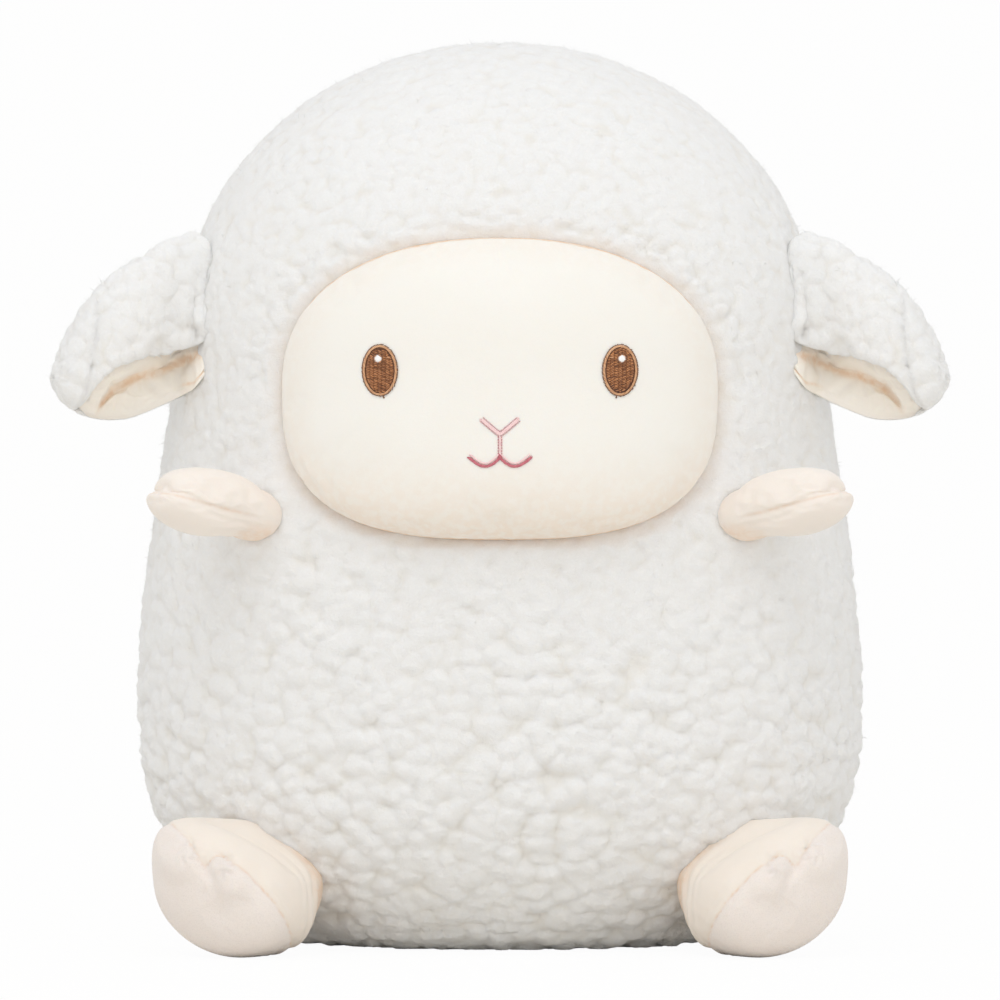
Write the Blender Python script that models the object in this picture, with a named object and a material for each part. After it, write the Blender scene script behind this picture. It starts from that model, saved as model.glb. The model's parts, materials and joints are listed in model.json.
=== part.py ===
"""Sitting plush sheep: a stuffed fleece body with a soft face, folded ears, two arms and two cloven feet.

Metres, +Z up. The sheep faces -Y and its own left side is +X. The origin is the middle of the flat base
that it sits on. Each cloth panel is a thin solid over the filling that it covers.
"""

from math import asin, cos, exp, pi, radians, sin

import bmesh
import bpy
from mathutils import Matrix, Vector

# Cloths and clearances
GAP = 0.0003  # between pieces that touch
FLEECE = 0.008  # curly fleece with its backing
VELBOA = 0.0018  # short-pile cloth of the face, arms and feet
OVERRUN = 0.01  # how far a cutter runs past what it cuts
MERGE = 0.000005  # points of one mesh closer than this are one point
SLOPE_STEP = 0.0001  # step over which a surface's slope is measured
SHARP_ANGLE = radians(40)  # past which an edge is shaded sharp

# Body
BODY_HEIGHT = 0.393
HEAD_LEVEL = 0.258  # where the crown's dome starts
BELLY_LEVEL = 0.105  # where the body is widest
HEAD_HALF_WIDTH = 0.142
HEAD_HALF_DEPTH = 0.112
BELLY_HALF_WIDTH = 0.1585
BELLY_HALF_DEPTH = 0.120
BASE_BELOW = 0.007  # how far the base's curve would run on below the flat
BASE_SEAM_HEIGHT = 0.012
CROWN_EXPONENT = 2.05
BASE_EXPONENT = 2.6
GIRTH_EXPONENT = 2.15
SHOULDER_EXPONENTS = (1.3, 2.0)  # how early the head widens into the belly, and how softly it ends
CROWN_RINGS = 7
FLANK_RINGS = 5
BASE_RINGS = 5
BODY_SEGMENTS = 32  # a multiple of four, so that the seams fall on a column

# Face
FACE_LEVEL = 0.2468
FACE_HALF_WIDTH = 0.0946
FACE_HALF_HEIGHT = 0.0652
FACE_BULGE = 0.019  # how far the face stands out of the fleece
CHIN_BULGE = 0.005  # how much more it does at the chin, and less at the brow
FACE_RIM = 0.005  # how deep the face's edge is sewn in
BROW_EXPONENT = 2.25
CHIN_EXPONENT = 2.9
CUSHION_EXPONENT = 4.0
FACE_RING_SHARES = (0.32, 0.58, 0.78, 0.91, 1.0)
FACE_SEGMENTS = 28

# Stitched features
STITCH = 0.0009  # how thick a filled stitch lies on the cloth
EYE_SPACING = 0.1046
EYE_LEVEL = 0.2564
EYE_HALF_WIDTH = 0.0080
EYE_HALF_HEIGHT = 0.0109
EYE_RING = 0.0013
EYE_SEGMENTS = 20
GLINT_RADIUS = 0.0018
GLINT_OUTWARDS = 0.001  # from the eye's middle, away from the nose
GLINT_UP = 0.005
NOSE_LEVEL = 0.2283
NOSE_HALF_WIDTH = 0.0077
NOSE_RISE = 0.0066
MOUTH_LEVEL = 0.2186
MOUTH_HALF_WIDTH = 0.0135
MOUTH_DROP = 0.0038
SATIN_HALF_WIDTH = 0.0013
CURVE_STEPS = 12

# Arms
ARM_LEVEL = 0.191
ARM_SPREAD_SHARE = 0.666  # of the belly's half width, from the middle plane to the arm's seam on the body
ARM_STANDOFF = 0.005  # of the arm's pivot from the fleece
ARM_LENGTH = 0.053  # from pivot to tip
ARM_BALL = 0.0152
ARM_HALF_WIDTH = 0.0168
ARM_HALF_HEIGHT = 0.0155
ARM_DIRECTION_SHARES = (0.77, -0.62, 0.13)
ARM_STATION_SHARES = (  # along the arm, then half width and half height
    (0.24, 0.97, 1.00),
    (0.48, 1.00, 0.98),
    (0.70, 0.90, 0.86),
    (0.87, 0.66, 0.62),
    (0.965, 0.35, 0.33),
)
ARM_BALL_RINGS = 3
ARM_SEGMENTS = 14

# Feet
FOOT_LEVEL = 0.0303
FOOT_SPREAD_SHARE = 0.612
FOOT_STANDOFF = 0.014
FOOT_LENGTH = 0.048
FOOT_BALL = 0.029
FOOT_HALF_WIDTH = 0.0335
FOOT_FLAT = 0.0005  # how deep the foot's underside is cut flat
FOOT_DIRECTION_SHARES = (0.57, -0.82, 0.0)
FOOT_STATION_SHARES = (  # along the foot, half width, then half height and lift as shares of the pivot's height
    (0.27, 0.94, 1.00, 0.00),
    (0.54, 1.00, 0.94, 0.00),
    (0.73, 0.95, 0.83, 0.00),
    (0.87, 0.78, 0.66, 0.08),
    (0.96, 0.48, 0.42, 0.32),
)
SOLE_STATION = 2  # the station that carries the sole's seam
CLEFT_DEPTH = 0.006
CLEFT_HALF_ANGLE = radians(20)
CLEFT_TURN = radians(112)  # round the foot from its inner side over its top
FOOT_BALL_RINGS = 4
FOOT_SEGMENTS = 20

# Ears
EAR_LEVEL = 0.2805
EAR_AZIMUTH = radians(-17)  # of the ear's seam round the head, from the sheep's side towards its face
EAR_STANDOFF = 0.003
EAR_ROOT_HALF_HEIGHT = 0.0275
EAR_BEAD = 0.0062  # radius of the rolled edge that the ear is sewn on by
EAR_LENGTH = 0.0555
EAR_HALF_HEIGHT = 0.035
EAR_HALF_DEPTH = 0.019
EAR_DROOP = 0.0445
EAR_TIP_EXPONENT = 2.6
EAR_PINCH_SHARE = 0.13
EAR_PINCH_END_SHARE = 0.25
EAR_LAYER_SHARE = 0.30  # the fleece layer, as a share of the ear's half depth
EAR_LINING_SHARE = 0.17
EAR_FRONT_EDGE = radians(113)  # of each layer's edges round the fold, from its top
EAR_BACK_EDGE = radians(-172)
EAR_STATION_SHARES = (  # along the ear, then half depth
    (0.0, 0.28),
    (0.12, 0.50),
    (0.26, 0.76),
    (0.42, 0.95),
    (0.58, 1.00),
    (0.71, 0.93),
    (0.83, 0.76),
    (0.92, 0.55),
    (0.975, 0.36),
)
EAR_LINING_STATIONS = slice(1, 8)
EAR_FOLD_STEPS = 9

SEAT_SEGMENTS = 16

FINISHES = {  # base colour, roughness
    "fleece": ((0.91, 0.91, 0.89), 0.95),
    "filling": ((0.93, 0.93, 0.92), 1.0),
    "face": ((0.93, 0.87, 0.80), 0.85),
    "limb": ((0.92, 0.84, 0.77), 0.85),
    "sole": ((0.85, 0.77, 0.72), 0.85),
    "lining": ((0.88, 0.76, 0.64), 0.85),
    "brown": ((0.26, 0.10, 0.03), 0.55),
    "tan": ((0.42, 0.20, 0.08), 0.55),
    "white": ((0.95, 0.95, 0.94), 0.5),
    "pink": ((0.66, 0.22, 0.25), 0.5),
}
SIDES = {"left": 1, "right": -1}


def clear_scene():
    for old in list(bpy.data.objects):
        bpy.data.objects.remove(old)


def finish_material(name, finish):
    colour, roughness = FINISHES[finish]
    material = bpy.data.materials.new(name)
    material.use_nodes = True
    shader = material.node_tree.nodes["Principled BSDF"]
    shader.inputs["Base Color"].default_value = (*colour, 1.0)
    shader.inputs["Roughness"].default_value = roughness
    shader.inputs["Metallic"].default_value = 0.0
    return material


def add_object(name, mesh, parent=None):
    piece = bpy.data.objects.new(name, mesh)
    bpy.context.scene.collection.objects.link(piece)
    piece.parent = parent
    return piece


def pivot(name, place):
    """An empty on a joint's axis. The pieces that turn there are its children."""
    empty = bpy.data.objects.new(name, None)
    empty.location = place
    bpy.context.scene.collection.objects.link(empty)
    bpy.context.view_layer.update()
    return empty


def mesh_of(name, points, faces, origin):
    """A closed mesh with its points counted from origin, its doubles merged and its faces turned outwards."""
    bm = bmesh.new()
    verts = [bm.verts.new(Vector(p) - origin) for p in points]
    for face in faces:
        bm.faces.new([verts[i] for i in face])
    bmesh.ops.remove_doubles(bm, verts=bm.verts, dist=MERGE)
    bmesh.ops.recalc_face_normals(bm, faces=bm.faces)
    mesh = bpy.data.meshes.new(name)
    bm.to_mesh(mesh)
    bm.free()
    mesh.shade_smooth()
    mesh.set_sharp_from_angle(angle=SHARP_ANGLE)
    return mesh


def add_piece(name, shape, finish, parent=None):
    """A named sub-part from (points, faces), with a material of its own."""
    points, faces = shape
    origin = parent.location if parent else Vector((0, 0, 0))
    mesh = mesh_of(name, points, faces, origin)
    mesh.materials.append(finish_material(name, finish))
    return add_object(name, mesh, parent)


def add_cutter(name, mesh):
    cutter = add_object(name, mesh)
    cutter.hide_render = True
    cutter.display_type = "WIRE"
    return cutter


def shape_cutter(name, shape):
    """A cutter from (points, faces)."""
    points, faces = shape
    return add_cutter(name, mesh_of(name, points, faces, Vector((0, 0, 0))))


def boolean(piece, other, operation="DIFFERENCE"):
    step = piece.modifiers.new(f"{operation.lower()} {other.name}", "BOOLEAN")
    step.operation = operation
    step.solver = "EXACT"
    step.object = other


def mirrored(points, side):
    return [Vector((side * p.x, p.y, p.z)) for p in points]


def grid_faces(rows, columns, start=0, closed=True):
    """Faces of a grid of points that are numbered row by row.

    Every cell is split along the same diagonal, so that the cloth and the filling under it keep
    their clearance all over.
    """
    across = columns if closed else columns - 1
    faces = []
    for i in range(rows - 1):
        for j in range(across):
            k = (j + 1) % columns
            a, b = start + i * columns, start + (i + 1) * columns
            faces += [(a + j, a + k, b + k), (a + j, b + k, b + j)]
    return faces


def form_shape(rows):
    """A closed form from rings. A ring of one point repeated is a pole, and any other end ring is capped."""
    columns = len(rows[0])
    points = [p for row in rows for p in row]
    faces = grid_faces(len(rows), columns)
    for row, first in ((rows[0], 0), (rows[-1], len(points) - columns)):
        if (row[0] - row[1]).length > MERGE:
            faces.append(tuple(range(first, first + columns)))
    return points, faces


def shell_shape(outer, inner, closed):
    """A cloth panel from two grids of points, its outside and its inside, with walls round its edges."""
    rows, columns = len(outer), len(outer[0])
    points = [p for grid in (outer, inner) for row in grid for p in row]
    half = rows * columns
    faces = grid_faces(rows, columns, 0, closed) + grid_faces(rows, columns, half, closed)
    edges = []
    across = columns if closed else columns - 1
    for row in (0, rows - 1):
        if (outer[row][0] - outer[row][1]).length > MERGE:
            edges += [(row * columns + j, row * columns + (j + 1) % columns) for j in range(across)]
    if not closed:
        for column in (0, columns - 1):
            edges += [(i * columns + column, (i + 1) * columns + column) for i in range(rows - 1)]
    faces += [(a, b, b + half, a + half) for a, b in edges]
    return points, faces


def tube_shape(rings):
    """A solid along a path from the closed outlines of its cross-sections, capped at both ends."""
    columns = len(rings[0])
    points = [p for ring in rings for p in ring]
    faces = grid_faces(len(rings), columns)
    faces.append(tuple(range(columns)))
    faces.append(tuple(range(len(points) - columns, len(points))))
    return points, faces


def mean(points):
    return sum(points, Vector((0, 0, 0))) / len(points)


def inset_rows(rows, depth):
    """The rings of a stuffed form, moved inwards by depth. Its first and last rows are poles."""
    columns = len(rows[0])
    moved = []
    for i, row in enumerate(rows):
        if i in (0, len(rows) - 1):
            towards = mean(rows[1 if i == 0 else i - 1])
            point = row[0] + (towards - row[0]).normalized() * depth
            moved.append([point] * columns)
            continue
        middle = mean(row)
        ring = []
        for j, point in enumerate(row):
            along = rows[i + 1][j] - rows[i - 1][j]
            around = row[(j + 1) % columns] - row[j - 1]
            normal = along.cross(around).normalized()
            if normal.dot(point - middle) < 0:
                normal = -normal
            ring.append(point - normal * depth)
        moved.append(ring)
    return moved


def signed_power(value, exponent):
    return abs(value) ** exponent * (1 if value >= 0 else -1)


def body_half_size(z, head, belly):
    """Half the body's width or depth at height z, from that of its head and of its belly."""
    if z >= HEAD_LEVEL:
        rise = (z - HEAD_LEVEL) / (BODY_HEIGHT - HEAD_LEVEL)
        return head * max(0.0, 1 - rise**CROWN_EXPONENT) ** (1 / CROWN_EXPONENT)
    if z >= BELLY_LEVEL:
        start, end = SHOULDER_EXPONENTS
        drop = (HEAD_LEVEL - z) / (HEAD_LEVEL - BELLY_LEVEL)
        return head + (belly - head) * (1 - (1 - drop**start) ** end)
    fall = (BELLY_LEVEL - z) / (BELLY_LEVEL + BASE_BELOW)
    return belly * max(0.0, 1 - fall**BASE_EXPONENT) ** (1 / BASE_EXPONENT)


def body_point(z, turn, inset=0.0):
    """A point of the body at height z and angle turn from +X, moved inwards by inset."""
    n = GIRTH_EXPONENT
    halves = [
        (HEAD_HALF_WIDTH, BELLY_HALF_WIDTH, cos(turn)),
        (HEAD_HALF_DEPTH, BELLY_HALF_DEPTH, sin(turn)),
    ]
    place, normal, tilt = [], [], 0.0
    for head, belly, share in halves:
        size = body_half_size(z, head, belly)
        above = body_half_size(z + SLOPE_STEP, head, belly)
        below = body_half_size(z - SLOPE_STEP, head, belly)
        slope = (above - below) / (2 * SLOPE_STEP)
        reach = signed_power(share, 2 / n)
        place.append(size * reach)
        normal.append(signed_power(reach, n - 1) / size)
        tilt -= abs(reach) ** n * slope / size
    outwards = Vector((*normal, tilt)).normalized()
    return Vector((*place, z)) - outwards * inset


def body_ring(z, inset):
    return [body_point(z, 2 * pi * j / BODY_SEGMENTS, inset) for j in range(BODY_SEGMENTS)]


def body_heights():
    """Heights of the body's rings below its pole: the crown, the flanks, then the base down to the flat."""
    crown = [cos(pi / 2 * i / CROWN_RINGS) for i in range(1, CROWN_RINGS)]
    heights = [HEAD_LEVEL + (BODY_HEIGHT - HEAD_LEVEL) * c ** (2 / CROWN_EXPONENT) for c in crown]
    flank = (HEAD_LEVEL - BELLY_LEVEL) / FLANK_RINGS
    heights += [HEAD_LEVEL - flank * i for i in range(FLANK_RINGS + 1)]
    drop = BELLY_LEVEL + BASE_BELOW
    last = asin((BELLY_LEVEL / drop) ** (BASE_EXPONENT / 2))
    turns = [last * i / BASE_RINGS for i in range(1, BASE_RINGS + 1)]
    heights += [max(0.0, BELLY_LEVEL - drop * sin(t) ** (2 / BASE_EXPONENT)) for t in turns]
    return heights


def body_rows(heights, inset, pole):
    """Rings of the body at heights under the pole on its crown, or over the one under its base."""
    rings = [body_ring(z, inset) for z in heights]
    if pole == "crown":
        top = Vector((0, 0, BODY_HEIGHT - inset))
        return [[top] * BODY_SEGMENTS] + rings
    return rings + [[Vector((0, 0, rings[-1][0].z))] * BODY_SEGMENTS]


def columns_of(rows, first, count, first_shift, last_shift):
    """Part of a form's columns, its two edges moved off the seams. The pole moves with both edges."""
    part = []
    for row in rows:
        cut = [row[(first + j) % len(row)].copy() for j in range(count + 1)]
        if (row[0] - row[1]).length < MERGE:
            cut = [p + first_shift + last_shift for p in cut]
        else:
            cut[0] += first_shift
            cut[-1] += last_shift
        part.append(cut)
    return part


def body_panels():
    """The front, the two halves of the back and the base, all of curly fleece."""
    quarter = BODY_SEGMENTS // 4
    above = [z for z in body_heights() if z > BASE_SEAM_HEIGHT + SLOPE_STEP] + [BASE_SEAM_HEIGHT + GAP / 2]
    below = [BASE_SEAM_HEIGHT - GAP / 2] + [z for z in body_heights() if z < BASE_SEAM_HEIGHT - SLOPE_STEP]
    x, y = Vector((GAP / 2, 0, 0)), Vector((0, GAP / 2, 0))
    cuts = {
        "front_panel": (2 * quarter, 2 * quarter, -y, -y),
        "back_panel_left": (0, quarter, y, x),
        "back_panel_right": (quarter, quarter, -x, y),
    }
    panels = {}
    for name, cut in cuts.items():
        outer = columns_of(body_rows(above, 0.0, "crown"), *cut)
        inner = columns_of(body_rows(above, FLEECE, "crown"), *cut)
        panels[name] = add_piece(name, shell_shape(outer, inner, False), "fleece")
    base = shell_shape(body_rows(below, 0.0, "base"), body_rows(below, FLEECE, "base"), True)
    panels["base_panel"] = add_piece("base_panel", base, "fleece")
    return panels


def skin_y(x, z):
    """The front of the body's fleece at (x, z)."""
    width = body_half_size(z, HEAD_HALF_WIDTH, BELLY_HALF_WIDTH)
    depth = body_half_size(z, HEAD_HALF_DEPTH, BELLY_HALF_DEPTH)
    share = min(1.0, abs(x) / width) ** GIRTH_EXPONENT
    return -depth * (1 - share) ** (1 / GIRTH_EXPONENT)


def face_share(x, z):
    """How far (x, z) lies from the face's middle, as a share of the way to its edge."""
    n = BROW_EXPONENT if z >= FACE_LEVEL else CHIN_EXPONENT
    wide = abs(x) / FACE_HALF_WIDTH
    high = abs(z - FACE_LEVEL) / FACE_HALF_HEIGHT
    return (wide**n + high**n) ** (1 / n)


def face_y(x, z):
    share = min(1.0, face_share(x, z))
    low = (FACE_LEVEL - z) / FACE_HALF_HEIGHT
    bulge = FACE_BULGE + CHIN_BULGE * low
    return skin_y(x, z) - bulge * (1 - share**CUSHION_EXPONENT) ** 0.5


def face_outline(turn, share=1.0, margin=0.0):
    """(x, z) on the face's outline at an angle from +X, scaled by share or grown by margin."""
    n = BROW_EXPONENT if sin(turn) >= 0 else CHIN_EXPONENT
    x = (FACE_HALF_WIDTH + margin) * signed_power(cos(turn), 2 / n)
    z = (FACE_HALF_HEIGHT + margin) * signed_power(sin(turn), 2 / n)
    return x * share, FACE_LEVEL + z * share


def face_point(x, z, lift):
    """A point on the face's cloth at (x, z), lifted off it, or sunk into it where lift is negative."""
    share = face_share(x, z)
    h = SLOPE_STEP
    if share > 1 - h / FACE_HALF_HEIGHT:
        across = face_share(x + h, z) - face_share(x - h, z)
        up = face_share(x, z + h) - face_share(x, z - h)
        normal = Vector((across, 0, up))
    else:
        across = face_y(x + h, z) - face_y(x - h, z)
        up = face_y(x, z + h) - face_y(x, z - h)
        normal = Vector((across, -2 * h, up))
    return Vector((x, face_y(x, z), z)) + normal.normalized() * lift


def face_rows(lift):
    turns = [2 * pi * j / FACE_SEGMENTS for j in range(FACE_SEGMENTS)]
    rows = [[face_point(0, FACE_LEVEL, lift)] * FACE_SEGMENTS]
    for share in FACE_RING_SHARES:
        rows.append([face_point(*face_outline(t, share), lift) for t in turns])
    return rows


def face():
    """The face's cloth, a cushion-shaped cap whose edge is sewn into the front panel."""
    outer, inner = face_rows(0.0), face_rows(-VELBOA)
    for rows in (outer, inner):
        rim = [p + Vector((0, FACE_RIM, 0)) for p in rows[-1]]
        rows.append(rim)
    return add_piece("face_panel", shell_shape(outer, inner, True), "face")


def face_filling():
    """The part of the filling that swells the face. It joins the body's filling."""
    rows = face_rows(-VELBOA - GAP)
    rows.append([Vector((p.x, -HEAD_HALF_DEPTH / 2, p.z)) for p in rows[-1]])
    return shape_cutter("face_filling_form", form_shape(rows))


def face_opening():
    """The hole in the front panel that the face sits in."""
    turns = [2 * pi * j / FACE_SEGMENTS for j in range(FACE_SEGMENTS)]
    outline = [face_outline(t, 1.0, GAP) for t in turns]
    front = -(BELLY_HALF_DEPTH + FACE_BULGE + OVERRUN)
    rings = [[Vector((x, y, z)) for x, z in outline] for y in (front, 0.0)]
    return shape_cutter("face_opening_cutter", tube_shape(rings))


def eye_ring(x, width, height, lift):
    """An oval on the face round an eye's middle."""
    turns = [2 * pi * j / EYE_SEGMENTS for j in range(EYE_SEGMENTS)]
    return [face_point(x + width * cos(t), EYE_LEVEL + height * sin(t), lift) for t in turns]


def eye(side_name, side):
    """One stitched eye: its filled middle, the outline round it and the glint on top."""
    x = side * EYE_SPACING / 2
    low, high = GAP, GAP + STITCH
    wide, tall = EYE_HALF_WIDTH, EYE_HALF_HEIGHT
    sizes = [(wide, tall, low), (wide, tall, high)]
    wide, tall = wide - EYE_RING, tall - EYE_RING
    sizes += [(wide, tall, high), (wide, tall, low)]
    rings = [eye_ring(x, *size) for size in sizes]
    rings.append(rings[0])
    outline = ([p for ring in rings for p in ring], grid_faces(len(rings), EYE_SEGMENTS))
    add_piece(f"eye_{side_name}_outline", outline, "tan")
    wide, tall = wide - GAP, tall - GAP
    middle = [(0.0, 0.0, low), (wide / 2, tall / 2, low), (wide, tall, low)]
    middle += [(w, h, high) for w, h, _ in reversed(middle)]
    add_piece(f"eye_{side_name}_fill", form_shape([eye_ring(x, *size) for size in middle]), "brown")
    glint_x, glint_z = x + side * GLINT_OUTWARDS, EYE_LEVEL + GLINT_UP
    rows = []
    turns = [2 * pi * j / EYE_SEGMENTS for j in range(EYE_SEGMENTS)]
    base = high + GAP
    for radius, lift in ((0.0, base), (GLINT_RADIUS, base), (GLINT_RADIUS, base + STITCH / 2), (0.0, base + STITCH)):
        rows.append([face_point(glint_x + radius * cos(t), glint_z + radius * sin(t), lift) for t in turns])
    add_piece(f"eye_{side_name}_glint", form_shape(rows), "white")


def ribbon(name, path):
    """A line of satin stitch that follows (x, z) points on the face."""
    rings = []
    for i, (x, z) in enumerate(path):
        before, after = path[max(0, i - 1)], path[min(len(path) - 1, i + 1)]
        along = Vector((after[0] - before[0], after[1] - before[1])).normalized()
        ring = []
        for offset, lift in ((-1, GAP), (-1, GAP + STITCH), (1, GAP + STITCH), (1, GAP)):
            width = offset * SATIN_HALF_WIDTH
            ring.append(face_point(x - along.y * width, z + along.x * width, lift))
        rings.append(ring)
    return add_piece(name, tube_shape(rings), "pink")


def mouth_and_nose():
    shares = [2 * i / CURVE_STEPS - 1 for i in range(CURVE_STEPS + 1)]
    nose = [(s * NOSE_HALF_WIDTH, NOSE_LEVEL + NOSE_RISE * abs(s)) for s in shares]
    ribbon("nose_stitching", nose)
    mouth = [(s * MOUTH_HALF_WIDTH, MOUTH_LEVEL - MOUTH_DROP * sin(pi * abs(s))) for s in shares]
    ribbon("mouth_stitching", mouth)
    top = NOSE_LEVEL - SATIN_HALF_WIDTH - GAP
    bottom = MOUTH_LEVEL + SATIN_HALF_WIDTH + GAP
    ribbon("lip_stitching", [(0.0, top), (0.0, (top + bottom) / 2), (0.0, bottom)])


def turn_near(x, z):
    """The angle round the body, on its front, at which its surface stands at x at height z."""
    width = body_half_size(z, HEAD_HALF_WIDTH, BELLY_HALF_WIDTH)
    share = (x / width) ** (GIRTH_EXPONENT / 2)
    return -(pi / 2 - asin(share))


def limb_frame(spread_share, level, standoff, direction_shares, along):
    """The pivot of the left limb and its three directions: along it, across it and up."""
    forwards = Vector(direction_shares).normalized()
    across = forwards.cross(Vector((0, 0, 1))).normalized()
    up = across.cross(forwards)
    turn = turn_near(spread_share * BELLY_HALF_WIDTH, level)
    skin = body_point(level, turn)
    if along:
        return skin + forwards * standoff, forwards, across, up
    return body_point(level, turn, -standoff), forwards, across, up


def arm_frame():
    return limb_frame(ARM_SPREAD_SHARE, ARM_LEVEL, ARM_STANDOFF, ARM_DIRECTION_SHARES, False)


def foot_frame():
    return limb_frame(FOOT_SPREAD_SHARE, FOOT_LEVEL, FOOT_STANDOFF, FOOT_DIRECTION_SHARES, True)


def ball_stations(radius, rings):
    """The back half of the ball at a limb's root: along, half width, half height and height of its rings."""
    turns = [pi / 2 * i / rings for i in range(1, rings + 1)]
    return [(-radius * cos(t), radius * sin(t), radius * sin(t), 0.0) for t in turns]


def limb_rows(frame, radius, stations, length, tip_height, segments, side, cleft_from=None):
    """Rings of a limb from the back of its ball to its tip, in world space."""
    place, forwards, across, up = frame
    rows = [[place - forwards * radius] * segments]
    for i, (along, wide, high, level) in enumerate(stations):
        ring = []
        for j in range(segments):
            turn = 2 * pi * j / segments
            height = level + high * sin(turn)
            if cleft_from is not None and i >= cleft_from:
                height -= CLEFT_DEPTH * exp(-(((turn - CLEFT_TURN) / CLEFT_HALF_ANGLE) ** 2))
            ring.append(place + forwards * along + across * wide * cos(turn) + up * height)
        rows.append(ring)
    rows.append([place + forwards * length + up * tip_height] * segments)
    return [mirrored(row, side) for row in rows]


def arm_rows(side):
    stations = ball_stations(ARM_BALL, ARM_BALL_RINGS)
    for along, wide, high in ARM_STATION_SHARES:
        stations.append((along * ARM_LENGTH, wide * ARM_HALF_WIDTH, high * ARM_HALF_HEIGHT, 0.0))
    return limb_rows(arm_frame(), ARM_BALL, stations, ARM_LENGTH, 0.0, ARM_SEGMENTS, side)


def arm(side_name, side):
    """One arm: the upper and the lower cloth panel, sewn along the arm's two sides, round their filling."""
    place = mirrored([arm_frame()[0]], side)[0]
    joint = pivot(f"arm_{side_name}_pivot", place)
    rows = arm_rows(side)
    inside = inset_rows(rows, VELBOA)
    half = ARM_SEGMENTS // 2
    up = arm_frame()[3]
    seam = mirrored([up * GAP / 2], side)[0]
    for name, first, shift in (("upper", 0, seam), ("lower", half, -seam)):
        cut = (first, half, shift, shift)
        shell = shell_shape(columns_of(rows, *cut), columns_of(inside, *cut), False)
        add_piece(f"arm_{side_name}_{name}_panel", shell, "limb", joint)
    filling = form_shape(inset_rows(rows, VELBOA + GAP))
    add_piece(f"arm_{side_name}_filling", filling, "filling", joint)


def foot_rows(side):
    stations = ball_stations(FOOT_BALL, FOOT_BALL_RINGS)
    for along, wide, high, lift in FOOT_STATION_SHARES:
        level = (high + lift - 1) * FOOT_LEVEL - FOOT_FLAT
        stations.append((along * FOOT_LENGTH, wide * FOOT_HALF_WIDTH, high * FOOT_LEVEL, level))
    first = FOOT_BALL_RINGS + SOLE_STATION - 1
    return limb_rows(foot_frame(), FOOT_BALL, stations, FOOT_LENGTH, level, FOOT_SEGMENTS, side, first)


def foot(side_name, side, floor):
    """One foot: the upper panel back to its root, the cloven sole panel in front and their filling."""
    place, forwards, _, _ = foot_frame()
    joint = pivot(f"foot_{side_name}_pivot", mirrored([place], side)[0])
    rows = foot_rows(side)
    inside = inset_rows(rows, VELBOA)
    seam = 1 + FOOT_BALL_RINGS + SOLE_STATION
    step = mirrored([forwards * GAP / 2], side)[0]
    shells = {
        "upper": [grid[: seam + 1] for grid in (rows, inside)],
        "sole": [grid[seam:] for grid in (rows, inside)],
    }
    for name, (outer, inner) in shells.items():
        edge, shift = (-1, -step) if name == "upper" else (0, step)
        outer[edge] = [p + shift for p in outer[edge]]
        inner[edge] = [p + shift for p in inner[edge]]
        finish = "limb" if name == "upper" else "sole"
        panel = add_piece(f"foot_{side_name}_{name}_panel", shell_shape(outer, inner, True), finish, joint)
        boolean(panel, floor)
    filling = form_shape(inset_rows(rows, VELBOA + GAP))
    add_piece(f"foot_{side_name}_filling", filling, "filling", joint)


def floor_cutter():
    """Everything below the flat that the sheep sits on, which trims the feet."""
    reach = 2 * BELLY_HALF_WIDTH
    corners = [(-reach, -reach), (reach, -reach), (reach, reach), (-reach, reach)]
    rings = [[Vector((x, y, z)) for x, y in corners] for z in (-OVERRUN, 0.0)]
    return shape_cutter("floor_cutter", tube_shape(rings))


def ear_frame():
    """The middle of the left ear's seam and three directions: out along the ear, to its front and up its seam."""
    ends = [body_point(EAR_LEVEL + s * EAR_ROOT_HALF_HEIGHT, EAR_AZIMUTH) for s in (-1, 1)]
    up = (ends[1] - ends[0]).normalized()
    skin = body_point(EAR_LEVEL, EAR_AZIMUTH)
    place = body_point(EAR_LEVEL, EAR_AZIMUTH, -EAR_STANDOFF)
    outwards = place - skin
    outwards = (outwards - up * outwards.dot(up)).normalized()
    front = outwards.cross(up).normalized()
    if front.y > 0:
        front = -front
    return place, outwards, front, up


def ear_arc(frame, station, inset, side):
    """Points round an ear's fold at one station, from its back edge over its top to its front edge."""
    place, outwards, front, up = frame
    share, depth_share = station
    depth = EAR_HALF_DEPTH * depth_share
    height = EAR_HALF_HEIGHT * (1 - share**EAR_TIP_EXPONENT) ** 0.5
    if share < EAR_PINCH_END_SHARE:
        height *= 1 - EAR_PINCH_SHARE * (1 - share / EAR_PINCH_END_SHARE) ** 2
    middle = place + outwards * EAR_LENGTH * share - up * EAR_DROOP * share
    step = (EAR_FRONT_EDGE - EAR_BACK_EDGE) / EAR_FOLD_STEPS
    turns = [EAR_BACK_EDGE + step * i for i in range(EAR_FOLD_STEPS + 1)]
    wide, tall = depth - inset, height - inset
    return mirrored([middle + front * wide * sin(t) + up * tall * cos(t) for t in turns], side)


def rod_shape(middle, direction, radius, half_length, segments):
    """A plain round rod along a direction."""
    turn = direction.to_track_quat("Z", "Y").to_matrix()
    rings = []
    for end in (-1, 1):
        angles = [2 * pi * j / segments for j in range(segments)]
        rings.append([middle + turn @ Vector((radius * cos(a), radius * sin(a), end * half_length)) for a in angles])
    return tube_shape(rings)


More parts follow.
